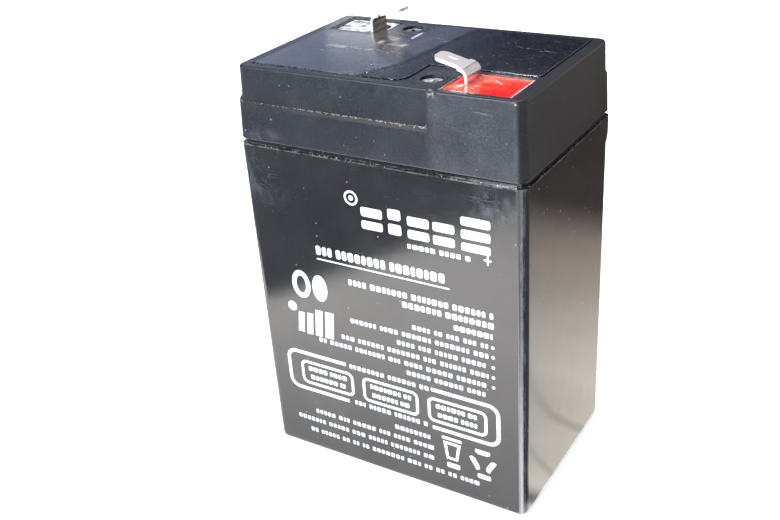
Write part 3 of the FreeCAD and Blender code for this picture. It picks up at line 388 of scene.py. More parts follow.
def print_ink(name, low, high):
    """Screen-printed ink, slightly uneven, worn through in a few places."""
    g = Graph(name)
    n1 = g.noise(900, 4, 0.6)
    worn = g.mul(g.ramp(g.noise(2600, 4, 0.75), 0.66, 0.76), g.ramp(g.noise(240, 2), 0.45, 0.7))
    col = g.mix(g.ramp(n1, 0.3, 0.7), low, high)
    col = g.mix(g.mul(worn, 0.6), col, (0.10, 0.10, 0.11))
    g.set(Base_Color=col, Roughness=g.ramp(n1, 0.3, 0.7, 0.36, 0.5))
    g.set(Normal=g.bump(n1, 0.2, 0.00002))
    return g.mat


def tin_plate():
    """Tin-plated strip: soft sheen, drawing lines along the strip, a few rubbed spots."""
    g = Graph("tin_plate")
    lines = g.noise(1.0, 2, 0.5, g.mapped(scale=(160, 2600, 160)))
    cloud = g.noise(420, 4, 0.6)
    col = g.mix(g.ramp(cloud, 0.3, 0.7), (0.72, 0.70, 0.70), (0.84, 0.82, 0.83))
    spots = g.ramp(g.noise(1500, 4, 0.7), 0.62, 0.74)
    col = g.mix(g.mul(spots, 0.35), col, (0.40, 0.36, 0.31))
    low = g.ramp(g.z, 0.1012, 0.0999)
    col = g.mix(g.mul(low, 0.25), col, (0.55, 0.42, 0.33))
    rough = g.add(0.10, g.mul(lines, 0.12), g.mul(g.ramp(cloud, 0.35, 0.7), 0.08), g.mul(spots, 0.12))
    sheared = g.ramp(g.math("ABSOLUTE", g.ny), 0.35, 0.75)
    col = g.mix(g.mul(sheared, 0.8), col, (0.66, 0.65, 0.66))
    g.set(Base_Color=col, Metallic=g.math("MULTIPLY_ADD", sheared, -0.65, 1.0), Roughness=g.add(rough, g.mul(sheared, 0.2)))
    n = g.bump(g.add(lines, g.mul(cloud, 0.6)), 0.12, 0.00004)
    g.set(Normal=n)
    return g.mat


def resin(name, dark, light, rim, rough0, reflection_tint=None):
    """Poured resin: glossy, uneven surface, pale dust specks and fine scratches; with a tint given, a painted
    reflection and painted highlights round the tab's foot.
    """
    g = Graph(name)
    cloud = g.noise(260, 4, 0.6)
    col = g.mix(g.ramp(cloud, 0.3, 0.7), dark, light)
    # dusty line where the surface meets the right-hand and front walls
    up = g.ramp(g.z, 0.09990, 0.10012)
    wall = g.most(g.ramp(g.math("ABSOLUTE", g.x), 0.03045, 0.03085), g.ramp(g.math("ABSOLUTE", g.y), 0.02085, 0.02120))
    flaky = g.ramp(g.noise(850, 4, 0.7), 0.38, 0.58)
    col = g.mix(g.mul(up, wall, flaky, 0.85), col, rim)
    scratch = g.mul(g.streaks((0, 0, 25), 5200, 240, 0.70, 0.78, (5, 1, 2)), g.ramp(g.noise(210, 2), 0.48, 0.66))
    spots = g.most(g.specks(700, 0.15, 0.22, seed=4.4), g.specks(1500, 0.16, 0.16, seed=6.6))
    dirt = g.most(g.mul(scratch, 0.7), g.mul(spots, 0.75))
    if reflection_tint:
        deep = g.mul(g.blob(28.0, -19.0, 100, 7.5, 4.6, 3, 0.2), g.ramp(g.noise(180, 3, 0.6), 0.30, 0.55))
        col = g.mix(g.mul(deep, 0.85), col, (0.72, 0.006, 0.004))
        # paler zone round the tab's foot: a painted reflection of the tab; white flecks and one long scratch
        tab_reflection_zone = g.most(g.blob(18.4, -18.6, 100, 4.2, 3.6, 2, 0.1), g.blob(21.5, -12.6, 100, 5.6, 2.4, 2, 0.1))
        col = g.mix(g.mul(tab_reflection_zone, g.ramp(g.noise(420, 4, 0.65), 0.32, 0.62), 0.55), col, reflection_tint)
        flecks = g.mul(g.most(g.specks(620, 0.34, 0.5, seed=1.1), g.specks(1100, 0.30, 0.4, seed=9.2)),
                       g.blob(19.2, -18.2, 100, 4.4, 3.4, 2, 0.2))
        line = g.add(g.y, g.mul(g.x, 0.86))
        cut = g.mul(g.band(line, 0.00838, 0.00856, 0.00008), g.band(g.x, 0.0236, 0.0256, 0.0003))
        # two white dabs at the tab's foot: painted highlights, mixed in with the dirt
        foot = g.mul(g.most(g.blob(18.2, -17.2, 100, 1.0, 0.9, 2, 0.3), g.blob(21.4, -16.1, 100, 0.7, 0.5, 2, 0.2)),
                     g.ramp(g.noise(1000, 3, 0.6), 0.30, 0.48))
        dirt = g.most(dirt, g.mul(flecks, 0.85), g.mul(cut, 0.9), g.mul(foot, 0.95))
    col = g.mix(dirt, col, (0.78, 0.66, 0.62))
    g.set(Base_Color=col, Roughness=g.add(rough0, g.mul(dirt, 0.35), g.mul(g.ramp(cloud, 0.4, 0.7), 0.06)), IOR=1.56)
    wave = g.noise(330, 3, 0.5)
    n = g.bump(g.add(wave, g.mul(dirt, 0.3)), 0.14, 0.00025)
    g.set(Normal=n)
    return g.mat


def plain_inner(name, a, b, rough, scale, bump, metal=0.0, second=None):
    """Inner pieces: two tones broken by noise, with their own grain."""
    g = Graph(name)
    n1 = g.noise(scale, 5, 0.65)
    n2 = g.noise(scale * 4, 3, 0.6)
    col = g.mix(g.ramp(n1, 0.35, 0.65), a, b)
    if second:
        col = g.mix(g.ramp(n2, 0.55, 0.72, 0, 0.6), col, second)
    g.set(Base_Color=col, Metallic=metal, Roughness=g.ramp(n1, 0.3, 0.7, rough, rough + 0.18))
    g.set(Normal=g.bump(g.add(n1, g.mul(n2, 0.5)), 0.5, bump))
    return g.mat


def mat_fibre():
    """Glass mat: white, with crossing short fibres."""
    g = Graph("glass_mat")
    a = g.noise(1.0, 2, 0.5, g.mapped(scale=(2600, 300, 2600), turn=(30, 0, 0)))
    b = g.noise(1.0, 2, 0.5, g.mapped(scale=(2600, 2600, 300), turn=(-25, 0, 0)))
    cloud = g.noise(180, 3, 0.6)
    fib = g.most(a, b)
    col = g.mix(g.ramp(fib, 0.45, 0.7), (0.70, 0.70, 0.66), (0.90, 0.90, 0.88))
    col = g.mix(g.ramp(cloud, 0.55, 0.8, 0, 0.4), col, (0.62, 0.60, 0.54))
    g.set(Base_Color=col, Roughness=0.95)
    g.set(Normal=g.bump(fib, 0.6, 0.0001))
    return g.mat


M = {
    "case": case_plastic(), "lid": lid_plastic(), "cover": cover_plastic(),
    "ink": print_ink("print_ink", (0.50, 0.56, 0.62), (0.62, 0.68, 0.74)),
    "ink_soft": print_ink("print_ink_small", (0.30, 0.34, 0.39), (0.44, 0.49, 0.55)),
    "tin": tin_plate(),
    "red": resin("red_resin", (0.66, 0.018, 0.010), (0.86, 0.066, 0.036), (0.90, 0.72, 0.68), 0.09, (0.95, 0.34, 0.22)),
    "black": resin("black_resin", (0.006, 0.006, 0.008), (0.012, 0.012, 0.015), (0.05, 0.05, 0.055), 0.05),
    "rubber": plain_inner("soft_rubber", (0.012, 0.012, 0.012), (0.028, 0.027, 0.026), 0.62, 700, 0.00005),
    "epoxy": plain_inner("joint_epoxy", (0.11, 0.10, 0.085), (0.17, 0.155, 0.13), 0.35, 300, 0.0001),
    "lead": plain_inner("cast_lead", (0.17, 0.18, 0.20), (0.30, 0.31, 0.33), 0.45, 500, 0.00012, 0.85,
                        (0.38, 0.38, 0.38)),
    "neg": plain_inner("negative_paste", (0.16, 0.165, 0.17), (0.28, 0.285, 0.29), 0.8, 900, 0.00012, 0.0,
                       (0.10, 0.10, 0.10)),
    "pos": plain_inner("positive_paste", (0.055, 0.026, 0.016), (0.11, 0.055, 0.034), 0.85, 900, 0.00012, 0.0,
                       (0.16, 0.10, 0.07)),
    "mat": mat_fibre(),
}

for name, obj in nodes.items():
    if name == "container":
        key = "case"
    elif name == "lid":
        key = "lid"
    elif name == "vent_cover_plate":
        key = "cover"
    elif name.endswith("terminal_tab"):
        key = "tin"
    elif name == "positive_resin_seal":
        key = "red"
    elif name == "negative_resin_seal":
        key = "black"
    elif name.startswith("valve_cap") or name.endswith("post_ring"):
        key = "rubber"
    elif name == "lid_joint_epoxy":
        key = "epoxy"
    elif "strap" in name:
        key = "lead"
    elif "negative_plate" in name:
        key = "neg"
    elif "positive_plate" in name:
        key = "pos"
    else:
        key = "mat"
    dress(obj, M[key])


# ------------------------------------------------------------------ mesh helpers

def mesh_object(name, verts, faces, mat, smooth=False):
    me = bpy.data.meshes.new(name)
    me.from_pydata([Vector(v) * MM for v in verts], [], faces)
    me.validate()
    me.update()
    ob = bpy.data.objects.new(name, me)
    bpy.context.scene.collection.objects.link(ob)
    if smooth:
        for p in me.polygons:
            p.use_smooth = True
    dress(ob, mat)
    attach(ob, "root")
    return ob


class Prisms:
    """Collects thin closed prisms drawn as outlines in a plane."""

    def __init__(self, place, thick):
        self.verts, self.faces = [], []
        self.place, self.thick = place, thick

    def add(self, outline):
        n = len(outline)
        k = len(self.verts)
        for h in (0.0, self.thick):
            for u, v in outline:
                self.verts.append(self.place(u, v, h))
        self.faces.append([k + i for i in reversed(range(n))])
        self.faces.append([k + n + i for i in range(n)])
        for i in range(n):
            j = (i + 1) % n
            self.faces.append([k + i, k + j, k + n + j, k + n + i])

    def ring(self, outer, inner):
        n = len(outer)
        k = len(self.verts)
        for h in (0.0, self.thick):
            for line in (outer, inner):
                for u, v in line:
                    self.verts.append(self.place(u, v, h))
        lo_o, lo_i, hi_o, hi_i = k, k + n, k + 2 * n, k + 3 * n
        for i in range(n):
            j = (i + 1) % n
            self.faces.append([hi_o + i, hi_o + j, hi_i + j, hi_i + i])
            self.faces.append([lo_o + j, lo_o + i, lo_i + i, lo_i + j])
            self.faces.append([lo_o + i, lo_o + j, hi_o + j, hi_o + i])
            self.faces.append([lo_i + j, lo_i + i, hi_i + i, hi_i + j])


def round_rect(x0, x1, y0, y1, r, steps=5):
    r = min(r, (x1 - x0) / 2 - 1e-4, (y1 - y0) / 2 - 1e-4)
    pts = []
    for cx, cy, a0 in ((x1 - r, y0 + r, -90), (x1 - r, y1 - r, 0), (x0 + r, y1 - r, 90), (x0 + r, y0 + r, 180)):
        for i in range(steps + 1):
            a = math.radians(a0 + 90.0 * i / steps)
            pts.append((cx + r * math.cos(a), cy + r * math.sin(a)))
    return pts


def disc(cx, cy, rx, ry=None, steps=28, a0=0.0):
    ry = ry or rx
    return [(cx + rx * math.cos(a0 + 2 * math.pi * i / steps), cy + ry * math.sin(a0 + 2 * math.pi * i / steps))
            for i in range(steps)]


# ------------------------------------------------------------------ front print
# Plain marks in place of the lettering: bars, rings and frames only.

ink = Prisms(lambda u, v, h: (u, -23.5 - h, v), 0.02)
soft = Prisms(lambda u, v, h: (u, -23.5 - h, v), 0.02)
rng = random.Random(41)


def bar(x0, x1, y0, y1, r=0.3, into=None):
    (into or ink).add(round_rect(x0, x1, y0, y1, r))


def frame_ring(x0, x1, y0, y1, r, w):
    ink.ring(round_rect(x0, x1, y0, y1, r), round_rect(x0 + w, x1 - w, y0 + w, y1 - w, max(r - w, 0.15)))


def row(x0, x1, yc, height, block=1.15, gap=0.28, into=None, lo=2, hi=7, space=0.75):
    """A row of small plain blocks in groups of uneven length."""
    x = x0
    left = rng.randint(lo, hi)
    while x < x1 - 0.5:
        w = min(block * rng.uniform(0.75, 1.25), x1 - x)
        if x1 - (x + w) < 0.6:
            w = x1 - x
        bar(x, x + w, yc - height / 2, yc + height / 2, height * 0.22, into or soft)
        x += w + gap
        left -= 1
        if left == 0:
            x += space
            left = rng.randint(lo, hi)


# heading row: five bold stacks of plain bars
for x0, x1, levels in ((-3.6, 1.8, ((67.3, 69.3), (70.3, 72.5))), (3.2, 6.4, ((67.3, 69.8), (70.8, 73.3))),
                       (8.0, 13.2, ((67.2, 69.3), (70.2, 72.4))), (14.1, 19.2, ((67.1, 69.2), (70.2, 72.3))),
                       (20.7, 27.4, ((67.0, 68.9), (69.8, 71.9), (72.8, 74.8)))):
    for z0, z1 in levels:
        bar(x0, x1, z0, z1, 0.55)
ink.ring(disc(-5.9, 74.1, 1.75), disc(-5.9, 74.1, 1.25))
ink.add(disc(-5.9, 74.1, 0.6, steps=16))
row(7.7, 22.7, 65.3, 1.15, 1.0, 0.3, ink)
bar(25.8, 27.6, 65.6, 66.0, 0.15)
bar(26.5, 26.9, 64.7, 65.58, 0.15)
bar(26.5, 26.9, 66.02, 66.9, 0.15)
# bold row with a rule under it
row(-16.8, 17.4, 59.2, 2.3, 1.35, 0.38, ink, 3, 8, 0.8)
bar(-16.8, 17.5, 56.8, 57.15, 0.15)
# two plain marks at the left
ink.ring(disc(-22.2, 49.0, 2.6, 3.7, 32), disc(-22.2, 49.0, 1.35, 2.3, 32))
ink.add(disc(-16.9, 49.0, 2.1, 3.5, 32))
ink.add(disc(-25.6, 42.3, 1.3))
for x0, x1, z0, z1 in ((-24.6, -22.9, 35.6, 41.2), (-22.1, -20.4, 35.4, 41.4), (-19.6, -17.6, 35.5, 42.8),
                       (-16.8, -14.4, 35.6, 42.9)):
    ink.add([(x0, z0), (x1, z0), (x1 + 0.7, z1), (x0 + 0.7, z1)])
# two longer rows
row(-8.6, 27.7, 52.7, 1.5, 1.05, 0.34, ink, 4, 9, 0.7)
row(5.4, 27.8, 50.3, 1.5, 1.05, 0.34, ink, 7, 11, 0.7)
# short heading and a list of six rows with dots
row(18.2, 27.5, 47.6, 1.35, 1.1, 0.3, ink, 8, 9)
for x0, z in ((7.6, 44.9), (-9.0, 42.4), (3.3, 39.8), (-12.0, 37.2), (-18.7, 34.6)):
    row(x0, 26.4, z, 1.25, 0.95, 0.28)
    soft.add(disc(27.5, z, 0.45, steps=14))
row(5.4, 26.4, 32.1, 1.25, 0.95, 0.28)


def open_frame(x0, x1, y0, y1, r, w, gap_lo, gap_hi):
    """A rounded frame left open in the middle of its top and bottom."""
    outer, inner = round_rect(x0, x1, y0, y1, r, 8), round_rect(x0 + w, x1 - w, y0 + w, y1 - w, r - w, 8)
    half = 18  # points of the two right-hand corners
    right_o, left_o = outer[:half], outer[half:]
    right_i, left_i = inner[:half], inner[half:]
    ink.add([(gap_hi, y0)] + right_o + [(gap_hi, y1), (gap_hi, y1 - w)] + right_i[::-1] + [(gap_hi, y0 + w)])
    ink.add([(gap_lo, y1)] + left_o + [(gap_lo, y0), (gap_lo, y0 + w)] + left_i[::-1] + [(gap_lo, y1 - w)])


open_frame(-29.2, 29.0, 18.2, 29.8, 2.9, 0.95, -11.6, 11.6)
row(-10.6, 11.0, 29.2, 1.25, 0.95, 0.28, None, 6, 9)
row(-9.9, 10.3, 18.9, 1.3, 0.95, 0.28, None, 2, 7)
for x0, x1 in ((-25.2, -9.8), (-7.3, 8.1), (10.5, 25.8)):
    frame_ring(x0, x1, 20.3, 27.2, 1.7, 0.75)
    row(x0 + 2.2, x1 - 2.0, 25.0, 1.25, 1.0, 0.26, ink, 4, 7, 0.5)
    row(x0 + 2.6, x1 - 2.6, 22.6, 1.25, 1.0, 0.26, ink, 4, 7, 0.5)
# rows at the foot
row(1.1, 11.8, 15.3, 1.3, 1.0, 0.28, None, 8, 9)
row(-22.2, 11.6, 12.4, 1.25, 0.95, 0.28)
row(-27.9, 11.5, 9.4, 1.25, 0.95, 0.28)
row(-24.5, 23.4, 6.1, 1.25, 0.95, 0.28)
# two plain marks at the lower right: a tapered box with a bar over it, three bars in a ring
ink.ring([(15.0, 10.6), (17.9, 10.6), (18.8, 15.6), (14.2, 15.6)], [(15.6, 11.3), (17.3, 11.3), (17.9, 14.9), (15.1, 14.9)])
bar(13.9, 19.1, 16.2, 17.0, 0.3)
bar(15.0, 18.4, 8.2, 9.6, 0.4)
for k in range(3):
    a = math.radians(90 + 120 * k)
    cx, cz = 24.4 + 2.2 * math.cos(a), 13.2 + 2.2 * math.sin(a)
    ux, uz = -math.sin(a), math.cos(a)
    vx, vz = math.cos(a), math.sin(a)
    ink.add([(cx + ux * p + vx * q, cz + uz * p + vz * q)
             for p, q in ((-1.9, 0.75), (-1.9, -0.1), (-1.2, -0.55), (1.2, -0.55), (1.9, -0.1), (1.9, 0.75))][::-1])
bar(23.0, 26.4, 7.9, 9.2, 0.4)
mesh_object("front_print", ink.verts, ink.faces, M["ink"])
mesh_object("front_print_small", soft.verts, soft.faces, M["ink_soft"])


# ------------------------------------------------------------------ resin with its rising rim

def resin_skin(name, x0, x1, y0, y1, tab_x0, tab_x1, tab_y0, tab_y1, mat, seed):
    """The poured surface: nearly flat, climbing the walls and the tab's foot."""
    step = 0.24
    nx, ny = int(round((x1 - x0) / step)), int(round((y1 - y0) / step))
    verts, faces = [], []
    for j in range(ny + 1):
        for i in range(nx + 1):
            # nodes crowd towards the walls, where the surface curls up
            s, t = i / nx, j / ny
            s = s + 0.10 * math.sin(2 * math.pi * s) * -1.0 / 1.6
            t = t + 0.10 * math.sin(2 * math.pi * t) * -1.0 / 1.6
            x, y = x0 + (x1 - x0) * s, y0 + (y1 - y0) * t
            wall = min(x - x0, x1 - x, y - y0, y1 - y)
            dx = max(tab_x0 - x, 0.0, x - tab_x1)
            dy = max(tab_y0 - y, 0.0, y - tab_y1)
            foot = math.hypot(dx, dy)
            rise = 0.30 * math.exp(-wall / 0.34) + 0.34 * math.exp(-foot / 0.40)
            wave = 0.035 * noise.noise(Vector((x * 0.35 + seed, y * 0.35, seed))) \
                + 0.012 * noise.noise(Vector((x * 1.3, y * 1.3 + seed, seed)))
            verts.append((x, y, 99.905 + rise + wave))
    m = (nx + 1) * (ny + 1)
    for j in range(ny):
        for i in range(nx):
            a = j * (nx + 1) + i
            faces.append([a, a + 1, a + nx + 2, a + nx + 1])
    edge = [i for i in range(nx + 1)] + [(j * (nx + 1)) + nx for j in range(1, ny + 1)] \
        + [ny * (nx + 1) + i for i in range(nx - 1, -1, -1)] + [j * (nx + 1) for j in range(ny - 1, 0, -1)]
    for e in edge:
        verts.append((verts[e][0], verts[e][1], 99.6))
    n = len(edge)
    for k in range(n):
        k2 = (k + 1) % n
        faces.append([edge[k2], edge[k], m + k, m + k2])
    faces.append([m + k for k in reversed(range(n))][::-1])
    ob = mesh_object(name, verts, faces, mat, smooth=True)
    bm = bmesh.new()
    bm.from_mesh(ob.data)
    bmesh.ops.recalc_face_normals(bm, faces=bm.faces)
    bm.to_mesh(ob.data)
    bm.free()
    return ob


resin_skin("positive_resin_surface", 16.13, 30.97, -21.27, -9.98, 18.95, 19.65, -16.75, -10.45,
           M["red"], 2.0)
resin_skin("negative_resin_surface", -30.97, -16.13, 9.98, 21.27, -19.65, -18.95, 10.45, 16.75,
           M["black"], 7.0)


# ------------------------------------------------------------------ dust and fibres

def grain_dust(name, spots, mat):
    """Small irregular crumbs."""
    verts, faces = [], []
    r = random.Random(len(spots) * 7 + 3)
    base = bmesh.new()
    bmesh.ops.create_icosphere(base, subdivisions=1, radius=1.0)
    bv = [v.co.copy() for v in base.verts]
    bf = [[v.index for v in f.verts] for f in base.faces]
    base.free()
    for x, y, z, size in spots:
        k = len(verts)
        turn = Matrix.Rotation(r.uniform(0, 6.28), 3, Vector((r.uniform(-1, 1), r.uniform(-1, 1), 1)).normalized())
        sx, sy, sz = r.uniform(0.6, 1.5), r.uniform(0.6, 1.2), r.uniform(0.4, 0.8)
        for c in bv:
            p = turn @ Vector((c.x * sx, c.y * sy, c.z * sz))
            p *= size * r.uniform(0.75, 1.2)
            verts.append((x + p.x, y + p.y, z + p.z))
        for f in bf:
            faces.append([k + i for i in f])
    return mesh_object(name, verts, faces, mat)


def dust_material():
    g = Graph("dust_crumbs")
    n1 = g.noise(1400, 3, 0.6)
    g.set(Base_Color=g.mix(g.ramp(n1, 0.3, 0.7), (0.34, 0.30, 0.25), (0.60, 0.56, 0.50)), Roughness=0.95)
    g.set(Normal=g.bump(n1, 0.5, 0.00005))
    return g.mat


M["dust"] = dust_material()
r = random.Random(17)
spots = []
for k in range(230):
    # along the open joint, on the rim, all round
    side = r.random()
    if side < 0.42:
        x, y = r.uniform(-33, 33), -23.1 - r.uniform(0, 0.35)
    elif side < 0.62:
        x, y = 34.6 + r.uniform(0, 0.35), r.uniform(-21.5, 21.5)
    elif side < 0.82:
        x, y = r.uniform(-33, 33), 23.1 + r.uniform(0, 0.35)
    else:
        x, y = -34.6 - r.uniform(0, 0.35), r.uniform(-21.5, 21.5)
    size = 0.03 + 0.10 * r.random() ** 3
    spots.append((x, y, 82.7 + size * 0.5, size))
for k in range(170):
    # on the two sloping ledges
    if r.random() < 0.6:
        x = 13.3 - 47 * r.random() ** 1.35
        s = 0.30 * r.random() ** 1.5
        y, z = -22.2 - 1.05 * s, 92.3 - 0.78 * s
    else:
        x = -13.3 + 47 * r.random() ** 1.35
        s = 0.30 * r.random() ** 1.5
        y, z = 22.2 + 1.05 * s, 92.3 - 0.78 * s
    if abs(x) > 33.6:
        continue
    size = 0.04 + 0.10 * r.random() ** 3
    spots.append((x, y, z + size * 0.2, size))
spots += [(-2.94, -17.83, 100.55, 0.24), (-9.0, -15.5, 100.53, 0.10), (5.2, -14.0, 100.53, 0.09)]
grain_dust("joint_dust", spots, M["dust"])


def fibre(name, points, radius):
    """A short hair that lies on the surface, as a thin tapering tube."""
    verts, faces = [], []
    n = len(points)
    for i, p in enumerate(points):
        a = Vector(points[min(i + 1, n - 1)]) - Vector(points[max(i - 1, 0)])
        a.normalize()
        u = a.cross(Vector((0.3, 1, 0.2))).normalized()
        w = a.cross(u)
        rr = radius * (0.45 + 0.55 * math.sin(math.pi * (i + 0.6) / (n + 0.2)))
        for k in range(5):
            t = 2 * math.pi * k / 5
            q = Vector(p) + (u * math.cos(t) + w * math.sin(t)) * rr
            verts.append(tuple(q))
    for i in range(n - 1):
        for k in range(5):
            k2 = (k + 1) % 5
            faces.append([i * 5 + k, i * 5 + k2, (i + 1) * 5 + k2, (i + 1) * 5 + k])
    faces.append([k for k in reversed(range(5))])
    faces.append([(n - 1) * 5 + k for k in range(5)])
    return verts, faces


hair_v, hair_f = [], []
r = random.Random(5)
for x0, y0, z0, length, tilt in ((12.2, -22.75, 92.2, 1.8, 0.7), (13.0, -22.7, 92.2, 1.4, -0.4),
                                 (10.6, -22.8, 92.1, 1.2, 1.2), (7.0, -22.8, 92.1, 1.0, 0.2),
                                 (1.0, -23.45, 82.75, 1.6, 0.5), (-12.0, -23.45, 82.75, 1.3, -0.3)):
    pts = []
    for i in range(7):
        t = i / 6
        pts.append((x0 + length * t * math.cos(tilt) + 0.12 * math.sin(5 * t + x0), y0 - 0.10 * math.sin(3.0 * t),
                    z0 + 0.05 + length * t * math.sin(tilt) * 0.6 + 0.10 * math.sin(4 * t + z0)))
    v, f = fibre("hair", pts, 0.035)
    k = len(hair_v)
    hair_v += v
    hair_f += [[k + i for i in ff] for ff in f]
mesh_object("dust_fibres", hair_v, hair_f, M["dust"])

# ------------------------------------------------------------------ floor, light, camera


def stage_mesh(name, verts, faces, mat):
    me = bpy.data.meshes.new(name)
    me.from_pydata([Vector(v) * MM for v in verts], [], faces)
    me.update()
    ob = bpy.data.objects.new(name, me)
    bpy.context.scene.collection.objects.link(ob)
    ob.data.materials.append(mat)
    return ob


def floor_material():
    g = Graph("pale_floor")
    n1 = g.noise(6, 3, 0.5)
    g.set(Base_Color=g.mix(g.ramp(n1, 0.3, 0.7), (0.93, 0.93, 0.93), (0.95, 0.95, 0.95)), Roughness=0.9)
    g.shader.inputs["Specular IOR Level"].default_value = 0.1
    g.shader.inputs["Emission Color"].default_value = (0.97, 0.98, 1.0, 1.0)
    g.shader.inputs["Emission Strength"].default_value = 0.6
    return g.mat


def glow(name, colour, strength):
    m = bpy.data.materials.new(name)
    m.use_nodes = True
    t = m.node_tree
    t.nodes.clear()
    o = t.nodes.new("ShaderNodeOutputMaterial")
    e = t.nodes.new("ShaderNodeEmission")
    e.inputs["Color"].default_value = (*colour, 1.0)
    e.inputs["Strength"].default_value = strength
    t.links.new(e.outputs[0], o.inputs[0])
    return m


floor = stage_mesh("floor", [(-4000, -4000, 0), (4000, -4000, 0), (4000, 4000, 0), (-4000, 4000, 0)],
                   [[0, 1, 2, 3]], floor_material())


def off_camera(ob, diffuse=True, glossy=True):
    ob.visible_camera = False
    ob.visible_shadow = False
    ob.visible_diffuse = diffuse
    ob.visible_glossy = glossy
    ob.visible_transmission = False
    return ob


